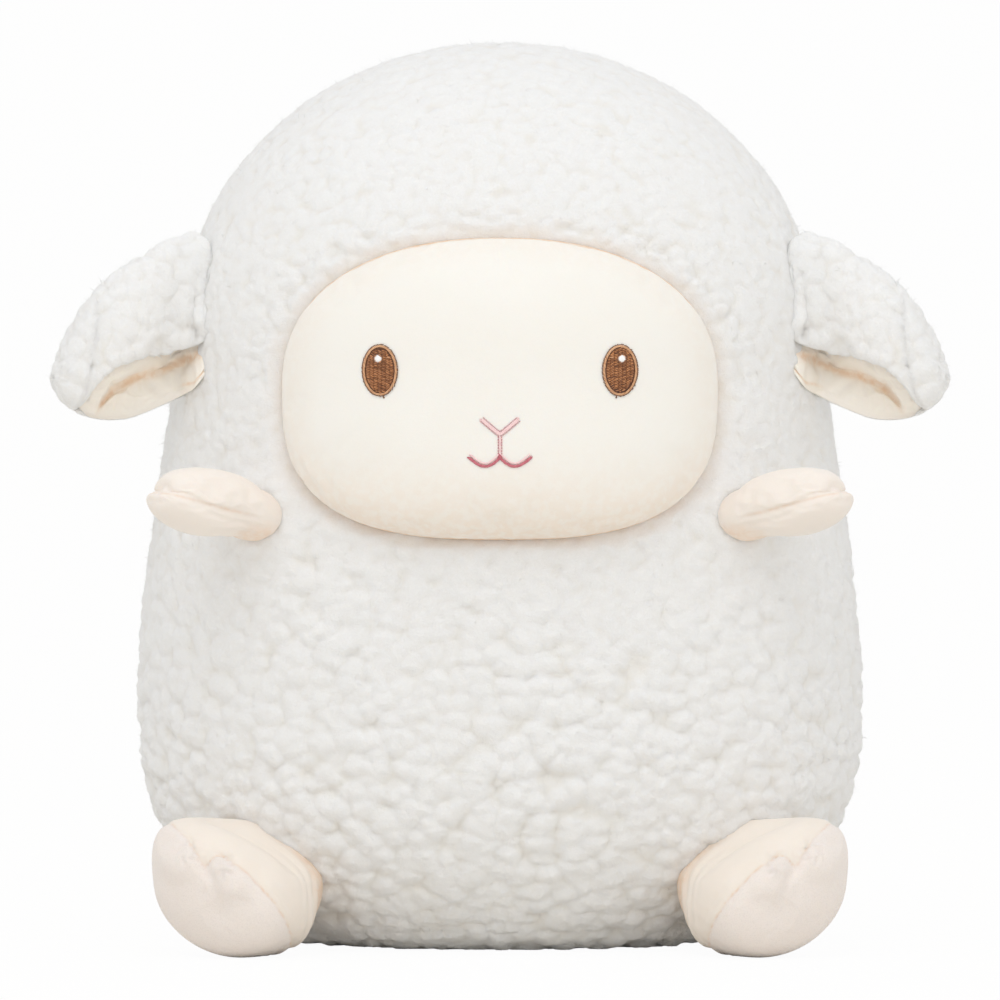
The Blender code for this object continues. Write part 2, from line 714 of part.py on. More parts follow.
def ear(side_name, side, front_panel):
    """One ear: a folded fleece layer on a rolled root edge, and its soft lining. Its fold opens down the front."""
    frame = ear_frame()
    place, _, _, up = frame
    joint = pivot(f"ear_{side_name}_pivot", mirrored([place], side)[0])
    grids = [[], [], [], []]
    for station in EAR_STATION_SHARES:
        thick = EAR_LAYER_SHARE * EAR_HALF_DEPTH * station[1]
        thin = EAR_LINING_SHARE * EAR_HALF_DEPTH * station[1]
        for grid, inset in zip(grids, (0.0, thick, thick + GAP, thick + GAP + thin)):
            grid.append(ear_arc(frame, station, inset, side))
    outer = add_piece(f"ear_{side_name}_outer", shell_shape(*grids[:2], False), "fleece", joint)
    lining = [grid[EAR_LINING_STATIONS] for grid in grids[2:]]
    add_piece(f"ear_{side_name}_lining", shell_shape(*lining, False), "lining", joint)
    middle, axis = mirrored([place, up], side)
    bead = rod_shape(middle, axis, EAR_BEAD, EAR_ROOT_HALF_HEIGHT, SEAT_SEGMENTS)
    boolean(outer, shape_cutter(f"ear_{side_name}_root_form", bead), "UNION")
    radius = (EAR_BEAD + GAP) / cos(pi / SEAT_SEGMENTS)
    groove = rod_shape(middle, axis, radius, EAR_ROOT_HALF_HEIGHT + GAP, SEAT_SEGMENTS)
    boolean(front_panel, shape_cutter(f"ear_{side_name}_groove_cutter", groove))


def seat_cutter(name, place, radius):
    """A ball that leaves a clearance all round a limb's root, flat facets included."""
    rings = SEAT_SEGMENTS // 2
    facets = cos(pi / SEAT_SEGMENTS) * cos(pi / (2 * rings))
    bm = bmesh.new()
    spot = Matrix.Translation(place)
    size = (radius + GAP) / facets
    bmesh.ops.create_uvsphere(bm, u_segments=SEAT_SEGMENTS, v_segments=rings, radius=size, matrix=spot)
    mesh = bpy.data.meshes.new(name)
    bm.to_mesh(mesh)
    bm.free()
    return add_cutter(name, mesh)


def build():
    clear_scene()
    panels = body_panels()
    front = panels["front_panel"]
    heights = body_heights()
    rows = body_rows(heights, FLEECE + GAP, "crown")
    rows.append([Vector((0, 0, rows[-1][0].z))] * BODY_SEGMENTS)
    filling = add_piece("body_filling", form_shape(rows), "filling")
    boolean(filling, face_filling(), "UNION")
    boolean(front, face_opening())
    face()
    mouth_and_nose()
    floor = floor_cutter()
    for side_name, side in SIDES.items():
        eye(side_name, side)
        arm(side_name, side)
        foot(side_name, side, floor)
        ear(side_name, side, front)
        arm_place, foot_place = mirrored([arm_frame()[0], foot_frame()[0]], side)
        for cutter in (
            seat_cutter(f"arm_{side_name}_seat_cutter", arm_place, ARM_BALL),
            seat_cutter(f"foot_{side_name}_seat_cutter", foot_place, FOOT_BALL),
        ):
            boolean(front, cutter)
            boolean(filling, cutter)


build()
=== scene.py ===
"""Looks of a sitting plush sheep: curly fleece, a velvety face, stitched features, folded ears and soft feet.

Metres, +Z up. The sheep faces -Y and its own left side is +X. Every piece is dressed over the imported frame.
"""

import json
from math import cos, pi, radians, sin

import bmesh
import bpy
import numpy as np
from mathutils import Matrix, Vector
from mathutils.bvhtree import BVHTree

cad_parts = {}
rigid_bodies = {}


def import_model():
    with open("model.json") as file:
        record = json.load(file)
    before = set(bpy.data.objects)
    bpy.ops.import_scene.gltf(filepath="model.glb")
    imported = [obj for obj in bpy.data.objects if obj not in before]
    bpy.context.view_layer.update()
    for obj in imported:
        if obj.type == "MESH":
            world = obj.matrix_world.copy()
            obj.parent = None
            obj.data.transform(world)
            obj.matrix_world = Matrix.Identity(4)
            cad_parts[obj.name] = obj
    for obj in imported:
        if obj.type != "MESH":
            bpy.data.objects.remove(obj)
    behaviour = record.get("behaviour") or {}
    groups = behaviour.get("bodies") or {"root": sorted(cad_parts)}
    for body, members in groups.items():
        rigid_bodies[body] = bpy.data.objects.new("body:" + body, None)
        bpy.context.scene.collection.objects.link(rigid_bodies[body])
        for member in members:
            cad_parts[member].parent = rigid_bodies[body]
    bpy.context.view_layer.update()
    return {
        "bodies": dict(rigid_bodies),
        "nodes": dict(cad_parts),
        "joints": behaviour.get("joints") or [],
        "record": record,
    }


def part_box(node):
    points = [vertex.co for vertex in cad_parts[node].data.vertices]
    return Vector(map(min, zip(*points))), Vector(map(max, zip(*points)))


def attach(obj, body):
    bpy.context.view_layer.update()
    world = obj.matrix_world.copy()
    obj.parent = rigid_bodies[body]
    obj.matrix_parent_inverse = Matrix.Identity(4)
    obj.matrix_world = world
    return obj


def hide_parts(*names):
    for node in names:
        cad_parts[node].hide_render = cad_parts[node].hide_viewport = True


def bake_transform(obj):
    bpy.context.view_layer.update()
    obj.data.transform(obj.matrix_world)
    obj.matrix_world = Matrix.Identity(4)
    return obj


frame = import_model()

BODY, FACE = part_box("front_panel"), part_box("face_panel")
JOINTS = {joint["name"]: joint for joint in frame["joints"]}
SIDES = {"left": 1, "right": -1}

# The body's form, in the frame's own measures
BODY_HEIGHT = BODY[1].z
HEAD_LEVEL = 0.258
BELLY_LEVEL = 0.105
HEAD_HALF_WIDTH = 0.142
HEAD_HALF_DEPTH = 0.112
BELLY_HALF_WIDTH = BODY[1].x
BELLY_HALF_DEPTH = -BODY[0].y
BASE_BELOW = 0.007
BASE_SEAM_HEIGHT = 0.012
CROWN_EXPONENT = 2.05
BASE_EXPONENT = 2.6
GIRTH_EXPONENT = 2.15
SHOULDER_EXPONENTS = (1.3, 2.0)

# The face's form
FACE_LEVEL = (FACE[0].z + FACE[1].z) / 2
FACE_HALF_WIDTH = FACE[1].x
FACE_HALF_HEIGHT = (FACE[1].z - FACE[0].z) / 2
FACE_BULGE = 0.019
CHIN_BULGE = 0.005
BROW_EXPONENT = 2.25
CHIN_EXPONENT = 2.9
CUSHION_EXPONENT = 4.0

# Embroidery
EYE_SPACING = 0.1040
EYE_LEVEL = 0.2556
EYE_HALF_WIDTH = 0.0075
EYE_HALF_HEIGHT = 0.0109
EYE_RING = 0.00135
EYE_COLUMNS = 7
GLINT_RADIUS = 0.0020
GLINT_OUTWARDS = 0.0008
GLINT_UP = 0.005
NOSE_LEVEL = 0.2283
NOSE_HALF_WIDTH = 0.0077
NOSE_RISE = 0.0066
MOUTH_LEVEL = 0.2190
MOUTH_HALF_WIDTH = 0.0131
MOUTH_DROP = 0.0038
THREAD = 0.00021  # radius
THREAD_PITCH = 0.00048
STITCH_LIFT = 0.0002

# Limbs: along each, half width and half height of its rings
ARM_DIRECTION = (0.77, -0.62, 0.13)
ARM_LENGTH = 0.053
ARM_BALL = (0.0128, 0.0165, 0.0120)  # its root's depth, half width and half height
ARM_HALF_WIDTH = 0.0168
ARM_HALF_HEIGHT = 0.0157
ARM_SHARES = (
    (0.13, 1.02, 0.78),
    (0.33, 1.02, 0.98),
    (0.55, 1.0, 0.97),
    (0.75, 0.94, 0.87),
    (0.90, 0.77, 0.73),
    (0.98, 0.50, 0.50),
)
ARM_LIFT = 0.0024  # how far the stuffed arm stands above its middle line
ARM_TIP_LIFT = 0.0024  # how much more at its tip
ARM_TIP_STEP = 0.0042  # how far the lower cloth's tip reaches past the upper one's
ARM_SEAM_DIP = -0.0012
ARM_SEAM_RISE = 0.0058  # from root to tip
FOOT_DIRECTION = (0.57, -0.82, 0.0)
FOOT_LEVEL = 0.0303
FOOT_LENGTH = 0.048
FOOT_BALL = (0.029, 0.029, 0.029)
FOOT_HALF_WIDTH = 0.0335
FOOT_SHARES = (
    (0.27, 0.95, 1.0, 0.0),
    (0.54, 1.0, 0.95, 0.0),
    (0.73, 0.95, 0.85, 0.0),
    (0.87, 0.80, 0.69, 0.06),
    (0.96, 0.52, 0.46, 0.28),
)
FOOT_LEAN = 0.34  # how far the stuffed foot leans outwards, to each metre of height
FOOT_LEAN_LEVEL = 0.030
FOOT_TOP_LEAN = 0.0105  # how much further its top leans
FOOT_HOLLOW = 0.0050  # how far its top sinks at the inner side of the root
SOLE_FACING = (0.653, -0.439, -0.617)  # along, across and up: where the sole lies from its seam
SOLE_SEAM = 0.0135  # of the seam's plane from the foot's pivot
# How far the sole's seam bows out of its plane, at each distance from the middle
SEAM_BOW = ((0.088, 0.003), (0.097, 0.0026), (0.109, 0.0022), (0.1175, -0.0010), (0.128, -0.0034))
SEAM_BOW += ((0.134, -0.0044), (0.140, -0.0026), (0.147, 0.0))
TOE_TIPS = ((0.1353, 0.0468), (0.1190, 0.0420))  # seen from the front
TOES = ((0.1390, 0.0420, 0.0078, 0.0030), (0.1175, 0.0360, 0.0100, 0.0034))  # middle, radius and rise
CLEFT = ((0.1262, 0.0490), (0.1285, 0.0400), (0.1242, 0.0348), (0.1222, 0.0270), (0.1194, 0.0143))
CLEFT_DEPTHS = (0.0006, 0.0038, 0.0028, 0.0015, 0.0001)
LIMB_SEGMENTS = 20

# Ears
EAR_OUTWARDS = (0.927669, -0.331284, 0.172280)
EAR_LENGTH = 0.0555
EAR_TOP = 0.0360  # how far it reaches above its middle line
EAR_BOTTOM = 0.0480
EAR_HALF_DEPTH = 0.019
EAR_DROOP = 0.0445
EAR_TIP = 0.942  # share of its length where its pile's tip begins
EAR_PINCH = 0.15
EAR_PINCH_END = 0.30
EAR_ROOT = -0.14  # share of its length by which the ear reaches into the body
EAR_LIFT = (-0.0045, 0.0030)  # of its front over the head's skin, from the root outwards
EAR_BLEND = 0.0030  # how softly its front bends from the head outwards
EAR_SWELL = 0.0055  # of its front next to the root
EAR_SKEW = 0.11  # share of its length by which the root of its lower half reaches further inwards
EAR_BACK_EDGE = radians(-172)
# The share of that depth which it has at shares of its length
EAR_DEPTHS = ((-0.09, 0.16), (0.0, 0.28), (0.12, 0.5), (0.26, 0.76), (0.42, 0.95), (0.58, 1.0))
EAR_DEPTHS += ((0.71, 0.93), (0.83, 0.78), (0.92, 0.60), (0.975, 0.40), (1.0, 0.16))
# How far below the ear's middle line its front edge runs, at shares of its length
EAR_FRINGE = ((-0.24, 0.0245), (-0.1, 0.0235), (0.03, 0.0200), (0.16, 0.0180), (0.28, 0.0130))
EAR_FRINGE += ((0.38, 0.0098), (0.52, 0.0074), (0.64, 0.0074), (0.70, 0.0098), (0.735, 0.0140))
EAR_FRINGE += ((0.765, 0.0215),)
EAR_FLEECE = 0.0058
EAR_EDGE_FLEECE = 0.0016  # at the back edge, where the lining is sewn on
EAR_PILE = 0.0022
LINING_END = 0.775
LINING_CORNER = radians(18)  # by which its lower corner is cut back at the tip
LINING_PUFF = 0.0036
LINING_TOP = radians(-72)
# How far below the ear's middle line the lining's crease runs, at shares of its length
LINING_CREASE = ((-0.24, 0.0300), (0.14, 0.0315), (0.232, 0.0292), (0.316, 0.0288), (0.397, 0.0294))
LINING_CREASE += ((0.454, 0.0306), (0.518, 0.0322), (0.545, 0.0335))

# Fleece
PILE = 0.0033  # how far the backing lies under the tips of the curls
VOXEL = 0.005  # grain of the forms that are puffed up by simulation
CURL_WIDTH = 0.0090
CURL_HEIGHT = 0.0040
HEAD_CURL_SHARE = 0.38  # height of the curls on the head against those on the belly
CREST_LEVEL = 0.80  # the curls' mean height, as a share of their full height, which lies at the skin
CURL_FLATTENING = 1.25  # how much wider than tall the curls lie
FLEECE_LEVELS = 2
SEAM_HALF_WIDTH = 0.002
FIBRES = 105000  # to a square metre
WISPS = 0.08  # share of the fibres that cling together in thicker wisps
FIBRE_LENGTH = 0.0022
FLOOR_CLEARANCE = 0.0002
COLLAR_RADIUS = 0.0155  # of the ring of fleece round an arm's root
COLLAR_WIDTH = 0.0060
COLLAR_RISE = 0.0032

SHADE_TINT = (0.80, 0.50, 0.28, 1)  # painted shade: the warm dark colour deep in a seam or crease of cream cloth
FORM_ROWS, FORM_COLUMNS = 90, 96  # of the body's form
FACE_ROWS, FACE_COLUMNS = 61, 87
FACE_BACK = 0.006  # how far the face's cushion reaches behind the fleece's skin
LINING_ROWS, LINING_COLUMNS = 56, 64
EAR_ROWS, EAR_COLUMNS = 46, 48

# Camera and light
PIXEL = 0.0004372  # of the photograph, at the sheep's middle plane
PICTURE = 1000
CAMERA_DISTANCE = 12.0
CAMERA_ELEVATION = radians(3)
AIM_HEIGHT = 0.1929


class Wires:
    """Adds nodes to a tree. A socket takes a plain value or another node's output."""

    def __init__(self, tree):
        self.tree = tree

    def add(self, kind, sockets=None, out=0, **settings):
        node = self.tree.nodes.new(kind)
        for name, value in settings.items():
            setattr(node, name, value)
        for key, value in (sockets or {}).items():
            self.feed(node.inputs[key], value)
        return node.outputs[out]

    def feed(self, socket, value):
        if isinstance(value, bpy.types.NodeSocket):
            self.tree.links.new(value, socket)
        else:
            socket.default_value = value

    def math(self, operation, *values):
        return self.add("ShaderNodeMath", dict(enumerate(values)), operation=operation)

    def plus(self, first, second):
        return self.math("ADD", first, second)

    def minus(self, first, second):
        return self.math("SUBTRACT", first, second)

    def times(self, first, second):
        return self.math("MULTIPLY", first, second)

    def vector(self, operation, *values):
        out = 1 if operation in ("LENGTH", "DISTANCE", "DOT_PRODUCT") else 0
        return self.add("ShaderNodeVectorMath", dict(enumerate(values)), out=out, operation=operation)

    def scaled(self, vector, factor):
        return self.add("ShaderNodeVectorMath", {0: vector, 3: factor}, operation="SCALE")

    def spread(self, value, low, high, to_low=0.0, to_high=1.0):
        sockets = {0: value, 1: low, 2: high, 3: to_low, 4: to_high}
        return self.add("ShaderNodeMapRange", sockets, interpolation_type="SMOOTHSTEP")

    def mixed(self, factor, first, second):
        return self.add("ShaderNodeMix", {0: factor, 6: first, 7: second}, out=2, data_type="RGBA")

    def noise(self, vector, scale, detail=2.0, roughness=0.5, distortion=0.0, out=0):
        sockets = {"Vector": vector, "Scale": scale, "Detail": detail, "Roughness": roughness}
        sockets["Distortion"] = distortion
        return self.add("ShaderNodeTexNoise", sockets, out=out)

    def cells(self, vector, scale, smoothness):
        sockets = {"Vector": vector, "Scale": scale, "Smoothness": smoothness}
        return self.add("ShaderNodeTexVoronoi", sockets, feature="SMOOTH_F1")

    def painted(self, name):
        """A number that a mesh holds for each point, read by its material."""
        return self.add("ShaderNodeAttribute", out=2, attribute_name=name)

    def held(self, name, kind="FLOAT"):
        """A number or direction that a mesh holds for each point, read by its tree."""
        return self.add("GeometryNodeInputNamedAttribute", {"Name": name}, data_type=kind)

    def above_floor(self, geometry):
        """Lifts what would reach through the floor."""
        place = self.vector("MAXIMUM", self.add("GeometryNodeInputPosition"), (-1.0, -1.0, FLOOR_CLEARANCE))
        return self.add("GeometryNodeSetPosition", {"Geometry": geometry, "Position": place})

    def relief(self, shader, height, strength, distance):
        """Fine relief on a surface, finer than its mesh."""
        sockets = {"Strength": strength, "Distance": distance, "Height": height}
        self.feed(shader.inputs["Normal"], self.add("ShaderNodeBump", sockets))


def new_look(name, **finish):
    """A material with its wires, its shader and its place on the object. Finish holds plain socket values."""
    material = bpy.data.materials.new(name)
    material.use_nodes = True
    shader = material.node_tree.nodes["Principled BSDF"]
    for socket, value in finish.items():
        shader.inputs[socket.replace("_", " ")].default_value = value
    wires = Wires(material.node_tree)
    return material, wires, shader, wires.add("ShaderNodeTexCoord", out=3)


def new_tree(name, takes, gives, **values):
    """A node tree from one geometry to another, with its wires and its inputs."""
    tree = bpy.data.node_groups.new(name, "GeometryNodeTree")
    tree.interface.new_socket(takes, in_out="INPUT", socket_type="NodeSocketGeometry")
    for value, kind in values.items():
        tree.interface.new_socket(value.replace("_", " "), in_out="INPUT", socket_type=f"NodeSocket{kind}")
    tree.interface.new_socket(gives, in_out="OUTPUT", socket_type="NodeSocketGeometry")
    return Wires(tree), tree.nodes.new("NodeGroupInput").outputs


def end_tree(wires, geometry, material):
    """Ends a tree with plain geometry of one material."""
    geometry = wires.add("GeometryNodeRealizeInstances", {0: geometry})
    geometry = wires.above_floor(geometry)
    geometry = wires.add("GeometryNodeSetMaterial", {"Geometry": geometry, "Material": material})
    wires.tree.links.new(geometry, wires.tree.nodes.new("NodeGroupOutput").inputs[0])
    return wires.tree


# Meshes


def points_of(mesh):
    points = np.empty(len(mesh.vertices) * 3)
    mesh.vertices.foreach_get("co", points)
    return points.reshape(-1, 3)


def normals_of(mesh):
    normals = np.empty(len(mesh.vertices) * 3)
    mesh.vertex_normals.foreach_get("vector", normals)
    return normals.reshape(-1, 3)


def move_points(mesh, points):
    mesh.vertices.foreach_set("co", np.asarray(points).ravel())
    mesh.update()


def new_piece(name, points, faces):
    mesh = bpy.data.meshes.new(name)
    mesh.from_pydata([tuple(p) for p in points], [], faces)
    return piece_of(name, mesh)


def piece_of(name, mesh):
    piece = bpy.data.objects.new(name, mesh)
    bpy.context.scene.collection.objects.link(piece)
    mesh.shade_smooth()
    return piece


def drop(piece):
    bpy.data.objects.remove(piece)


def attribute(mesh, name, values):
    """A number for each point of a mesh, which its node trees read by name."""
    layer = mesh.attributes.new(name, "FLOAT", "POINT")
    layer.data.foreach_set("value", np.asarray(values, np.float32))


def directions(mesh, name, vectors):
    """A direction for each point of a mesh, which its node trees read by name."""
    layer = mesh.attributes.new(name, "FLOAT_VECTOR", "POINT")
    layer.data.foreach_set("vector", np.asarray(vectors, np.float32).ravel())


def grid_faces(rows, columns, closed):
    across = columns if closed else columns - 1
    faces = []
    for i in range(rows - 1):
        for j in range(across):
            k = (j + 1) % columns
            faces.append((i * columns + j, i * columns + k, (i + 1) * columns + k, (i + 1) * columns + j))
    return faces


def outwards(mesh):
    """Merges a mesh's doubles and turns its faces outwards."""
    bm = bmesh.new()
    bm.from_mesh(mesh)
    bmesh.ops.remove_doubles(bm, verts=bm.verts, dist=1e-6)
    bmesh.ops.recalc_face_normals(bm, faces=bm.faces)
    bm.to_mesh(mesh)
    bm.free()


def evaluated_mesh(piece):
    view = bpy.context.evaluated_depsgraph_get()
    shown = piece.evaluated_get(view)
    return bpy.data.meshes.new_from_object(shown, preserve_all_data_layers=True, depsgraph=view)


def finish_modifiers(piece):
    """Makes what a piece's modifiers show its own plain mesh."""
    mesh = evaluated_mesh(piece)
    piece.modifiers.clear()
    old = piece.data
    piece.data = mesh
    bpy.data.meshes.remove(old)
    mesh.name = piece.name
    return piece


def voxels(piece, size):
    """Remeshes a closed form with an even grain."""
    step = piece.modifiers.new("grain", "REMESH")
    step.mode = "VOXEL"
    step.voxel_size = size
    step.use_smooth_shade = True
    return finish_modifiers(piece)


def kept_faces(piece, keep):
    """Deletes the faces for which keep, a list of yes or no, says no."""
    bm = bmesh.new()
    bm.from_mesh(piece.data)
    bm.faces.ensure_lookup_table()
    gone = [face for face, stays in zip(bm.faces, keep) if not stays]
    bmesh.ops.delete(bm, geom=gone, context="FACES")
    bm.to_mesh(piece.data)
    bm.free()
    return piece


def subdivide(piece, levels):
    step = piece.modifiers.new("smooth", "SUBSURF")
    step.levels = levels
    step.render_levels = levels
    finish_modifiers(piece)
    piece.data.shade_smooth()
    return piece


def rim_of(rows, columns):
    """The points round the edge of an open grid, in turn."""
    edge = [(0, j) for j in range(columns)] + [(i, columns - 1) for i in range(1, rows)]
    edge += [(rows - 1, j) for j in range(columns - 2, -1, -1)] + [(i, 0) for i in range(rows - 2, 0, -1)]
    return [i * columns + j for i, j in edge]


def two_sided(name, front, back):
    """A closed piece from a front and a back grid, with a wall round their rim."""
    rows, columns = front.shape[:2]
    count = rows * columns
    faces = grid_faces(rows, columns, False)
    faces += [tuple(count + i for i in reversed(face)) for face in faces]
    loop = rim_of(rows, columns)
    faces += [(a, b, b + count, a + count) for a, b in zip(loop, loop[1:] + loop[:1])]
    return new_piece(name, np.concatenate([front.reshape(-1, 3), back.reshape(-1, 3)]), faces)


def face_middles(mesh):
    middles = np.empty(len(mesh.polygons) * 3)
    mesh.polygons.foreach_get("center", middles)
    return middles.reshape(-1, 3)


def inflate(piece, pins, pressure, cap, growth=0.0, frames=20):
    """Puffs a closed form up by cloth simulation. Pinned points stay, and none moves past the cap."""
    start = points_of(piece.data)
    group = piece.vertex_groups.new(name="seams")
    group.add([int(i) for i in np.nonzero(pins)[0]], 1.0, "REPLACE")
    cloth = piece.modifiers.new("filling", "CLOTH")
    settings = cloth.settings
    settings.vertex_group_mass = group.name
    settings.use_pressure = True
    settings.uniform_pressure_force = pressure
    settings.shrink_min = -growth
    settings.effector_weights.gravity = 0
    settings.quality = 5
    cloth.collision_settings.use_collision = False
    cloth.point_cache.frame_end = frames
    scene = bpy.context.scene
    for step in range(1, frames + 1):
        scene.frame_set(step)
    puffed = evaluated_mesh(piece)
    way = points_of(puffed) - start
    bpy.data.meshes.remove(puffed)
    piece.modifiers.clear()
    piece.vertex_groups.clear()
    length = np.linalg.norm(way, axis=1)[:, None] + 1e-9
    move_points(piece.data, start + way / length * cap * np.tanh(length / cap))
    scene.frame_set(1)
    return piece


# The body's form


def half_size(z, head, belly):
    """Half the body's width or depth at heights z."""
    rise = np.clip((z - HEAD_LEVEL) / (BODY_HEIGHT - HEAD_LEVEL), 0, 1)
    crown = head * (1 - rise**CROWN_EXPONENT) ** (1 / CROWN_EXPONENT)
    early, soft = SHOULDER_EXPONENTS
    fallen = np.clip((HEAD_LEVEL - z) / (HEAD_LEVEL - BELLY_LEVEL), 0, 1)
    flank = head + (belly - head) * (1 - (1 - fallen**early) ** soft)
    low = np.clip((BELLY_LEVEL - z) / (BELLY_LEVEL + BASE_BELOW), 0, 1)
    base = belly * (1 - low**BASE_EXPONENT) ** (1 / BASE_EXPONENT)
    return np.where(z >= HEAD_LEVEL, crown, np.where(z >= BELLY_LEVEL, flank, base))


def body_grid(rows, columns):
    """Rings of the body from its crown to its base, drawn in by the pile."""
    turn = np.linspace(0, pi, rows)[:, None]
    middle = BODY_HEIGHT / 2
    z = np.clip(middle + middle * np.sign(np.cos(turn)) * np.abs(np.cos(turn)) ** 0.8, 0, BODY_HEIGHT)
    round_turn = np.linspace(0, 2 * pi, columns, endpoint=False)[None, :]
    n = 2 / GIRTH_EXPONENT
    wide = half_size(z, HEAD_HALF_WIDTH - PILE, BELLY_HALF_WIDTH - PILE)
    deep = half_size(z, HEAD_HALF_DEPTH - PILE, BELLY_HALF_DEPTH - PILE)
    x = wide * np.sign(np.cos(round_turn)) * np.abs(np.cos(round_turn)) ** n
    y = deep * np.sign(np.sin(round_turn)) * np.abs(np.sin(round_turn)) ** n
    z = z * (BODY_HEIGHT - PILE) / BODY_HEIGHT + FLOOR_CLEARANCE + 0 * x
    rings = np.stack([x, y, z], axis=-1)
    sole = [rings[-1] * (share, share, 1) for share in np.linspace(1, 0, 12)[1:]]
    return np.concatenate([rings, sole])


def skin_y(x, z):
    """The front of the body's fleece at (x, z)."""
    width = half_size(z, HEAD_HALF_WIDTH, BELLY_HALF_WIDTH)
    depth = half_size(z, HEAD_HALF_DEPTH, BELLY_HALF_DEPTH)
    share = np.minimum(1, np.abs(x) / np.maximum(width, 1e-6))
    return -depth * (1 - share**GIRTH_EXPONENT) ** (1 / GIRTH_EXPONENT)


def face_share(x, z):
    """How far (x, z) lies from the face's middle, as a share of the way to its edge."""
    n = np.where(z >= FACE_LEVEL, BROW_EXPONENT, CHIN_EXPONENT)
    wide = np.abs(x) / FACE_HALF_WIDTH
    high = np.abs(z - FACE_LEVEL) / FACE_HALF_HEIGHT
    return (wide**n + high**n) ** (1 / n)


def smooth(value, low, high):
    """From 0 at low to 1 at high, without a kink."""
    share = np.clip((value - low) / (high - low), 0, 1)
    return share * share * (3 - 2 * share)


def hump(value, middle, width):
    """1 at the middle, and fading on both sides of it."""
    return np.exp(-(((value - middle) / width) ** 2))


# Fleece


def fleece_look():
    """Off-white curly pile: matt, with fine fibres and a soft sheen."""
    finish = {"Roughness": 0.95, "Specular_IOR_Level": 0.2, "Sheen_Weight": 0.35, "Sheen_Roughness": 0.5}
    deep = {"Subsurface_Weight": 0.5, "Subsurface_Radius": (1.0, 0.95, 0.88), "Subsurface_Scale": 0.0032}
    material, wires, shader, place = new_look("fleece_pile", **finish, **deep)
    tone = wires.noise(place, 45.0, 3.0, 0.6)
    colour = wires.mixed(tone, (0.975, 0.975, 0.960, 1), (0.995, 0.995, 0.984, 1))
    fluff = wires.spread(wires.noise(place, 560.0, 4.0, 0.75, 1.2), 0.36, 0.62, 0.0, 0.36)
    colour = wires.mixed(fluff, colour, (0.905, 0.895, 0.868, 1))
    # painted shade: a darker, warmer colour in the gaps between the curls, where their crest is low
    colour = wires.mixed(wires.spread(wires.painted("crest"), 0.0, 0.7), (0.93, 0.905, 0.865, 1), colour)
    # painted shade and painted warm bounce light: darker and warmer near the face's edge and towards the
    # base, in uneven patches
    patches = wires.spread(wires.noise(place, 70.0, 2.0), 0.35, 0.65, 0.35, 1.0)
    colour = wires.mixed(wires.times(wires.painted("painted_warm_shade"), patches), colour, (0.86, 0.76, 0.62, 1))
    wires.feed(shader.inputs["Base Color"], colour)
    fibres = wires.noise(place, 1100.0, 3.0, 0.6, 1.6)
    curl = wires.noise(place, 480.0, 2.0, 0.5, 3.0)
    wires.relief(shader, wires.plus(fibres, curl), 0.6, 0.0009)
    return material


def socket_id(tree, name):
    sockets = tree.interface.items_tree
    return next(socket.identifier for socket in sockets if socket.name == name and socket.in_out == "INPUT")


def curl_tree(material):
    """Raises packed curls on a cloth. Its pile says how high they stand, its level where they crest."""
    values = {"Levels": "Int", "Curl_width": "Float", "Curl_height": "Float", "Flattening": "Float"}
    wires, ins = new_tree("curls", "Cloth", "Fleece", **values)
    fine = wires.add("GeometryNodeSubdivisionSurface", {"Mesh": ins["Cloth"], "Level": ins["Levels"]})
    place = wires.add("GeometryNodeInputPosition")
    stretch = wires.add("ShaderNodeCombineXYZ", {"X": 1.0, "Y": 1.0, "Z": ins["Flattening"]})
    closely = wires.math("DIVIDE", 1.0, ins["Curl width"])
    cells = wires.scaled(wires.vector("MULTIPLY", place, stretch), closely)
    wander = wires.vector("SUBTRACT", wires.noise(cells, 0.55, 2.0, 0.5, out=1), (0.5, 0.5, 0.5))
    cells = wires.vector("ADD", cells, wires.scaled(wander, 0.9))
    heights = []
    for scale, smoothness in ((1.0, 0.18), (1.5, 0.22)):
        away = wires.cells(cells, scale, smoothness)
        heights.append(wires.minus(1.0, wires.math("POWER", wires.times(away, 1.25), 2.0)))
    sizes = {0: wires.held("curl_size"), 2: heights[1], 3: heights[0]}
    large = wires.add("ShaderNodeMix", sizes, data_type="FLOAT")
    small = wires.minus(1.0, wires.math("POWER", wires.cells(cells, 2.7, 0.3), 1.5))
    grain = wires.noise(cells, 5.5, 2.0, 0.6)
    patchy = wires.spread(wires.noise(place, 22.0, 1.0), 0.3, 0.75, 0.65, 1.15)
    height = wires.times(large, wires.times(patchy, 0.72))
    height = wires.plus(height, wires.times(small, 0.22))
    height = wires.plus(height, wires.times(grain, 0.18))
    fine = wires.add("GeometryNodeStoreNamedAttribute", {"Geometry": fine, "Name": "crest", "Value": height})
    above = wires.times(wires.minus(height, CREST_LEVEL), ins["Curl height"])
    lift = wires.plus(wires.times(above, wires.held("pile")), wires.held("level"))
    offset = wires.scaled(wires.vector("NORMALIZE", wires.held("outward", "FLOAT_VECTOR")), lift)
    raised = wires.add("GeometryNodeSetPosition", {"Geometry": fine, "Offset": offset})
    return end_tree(wires, raised, material)


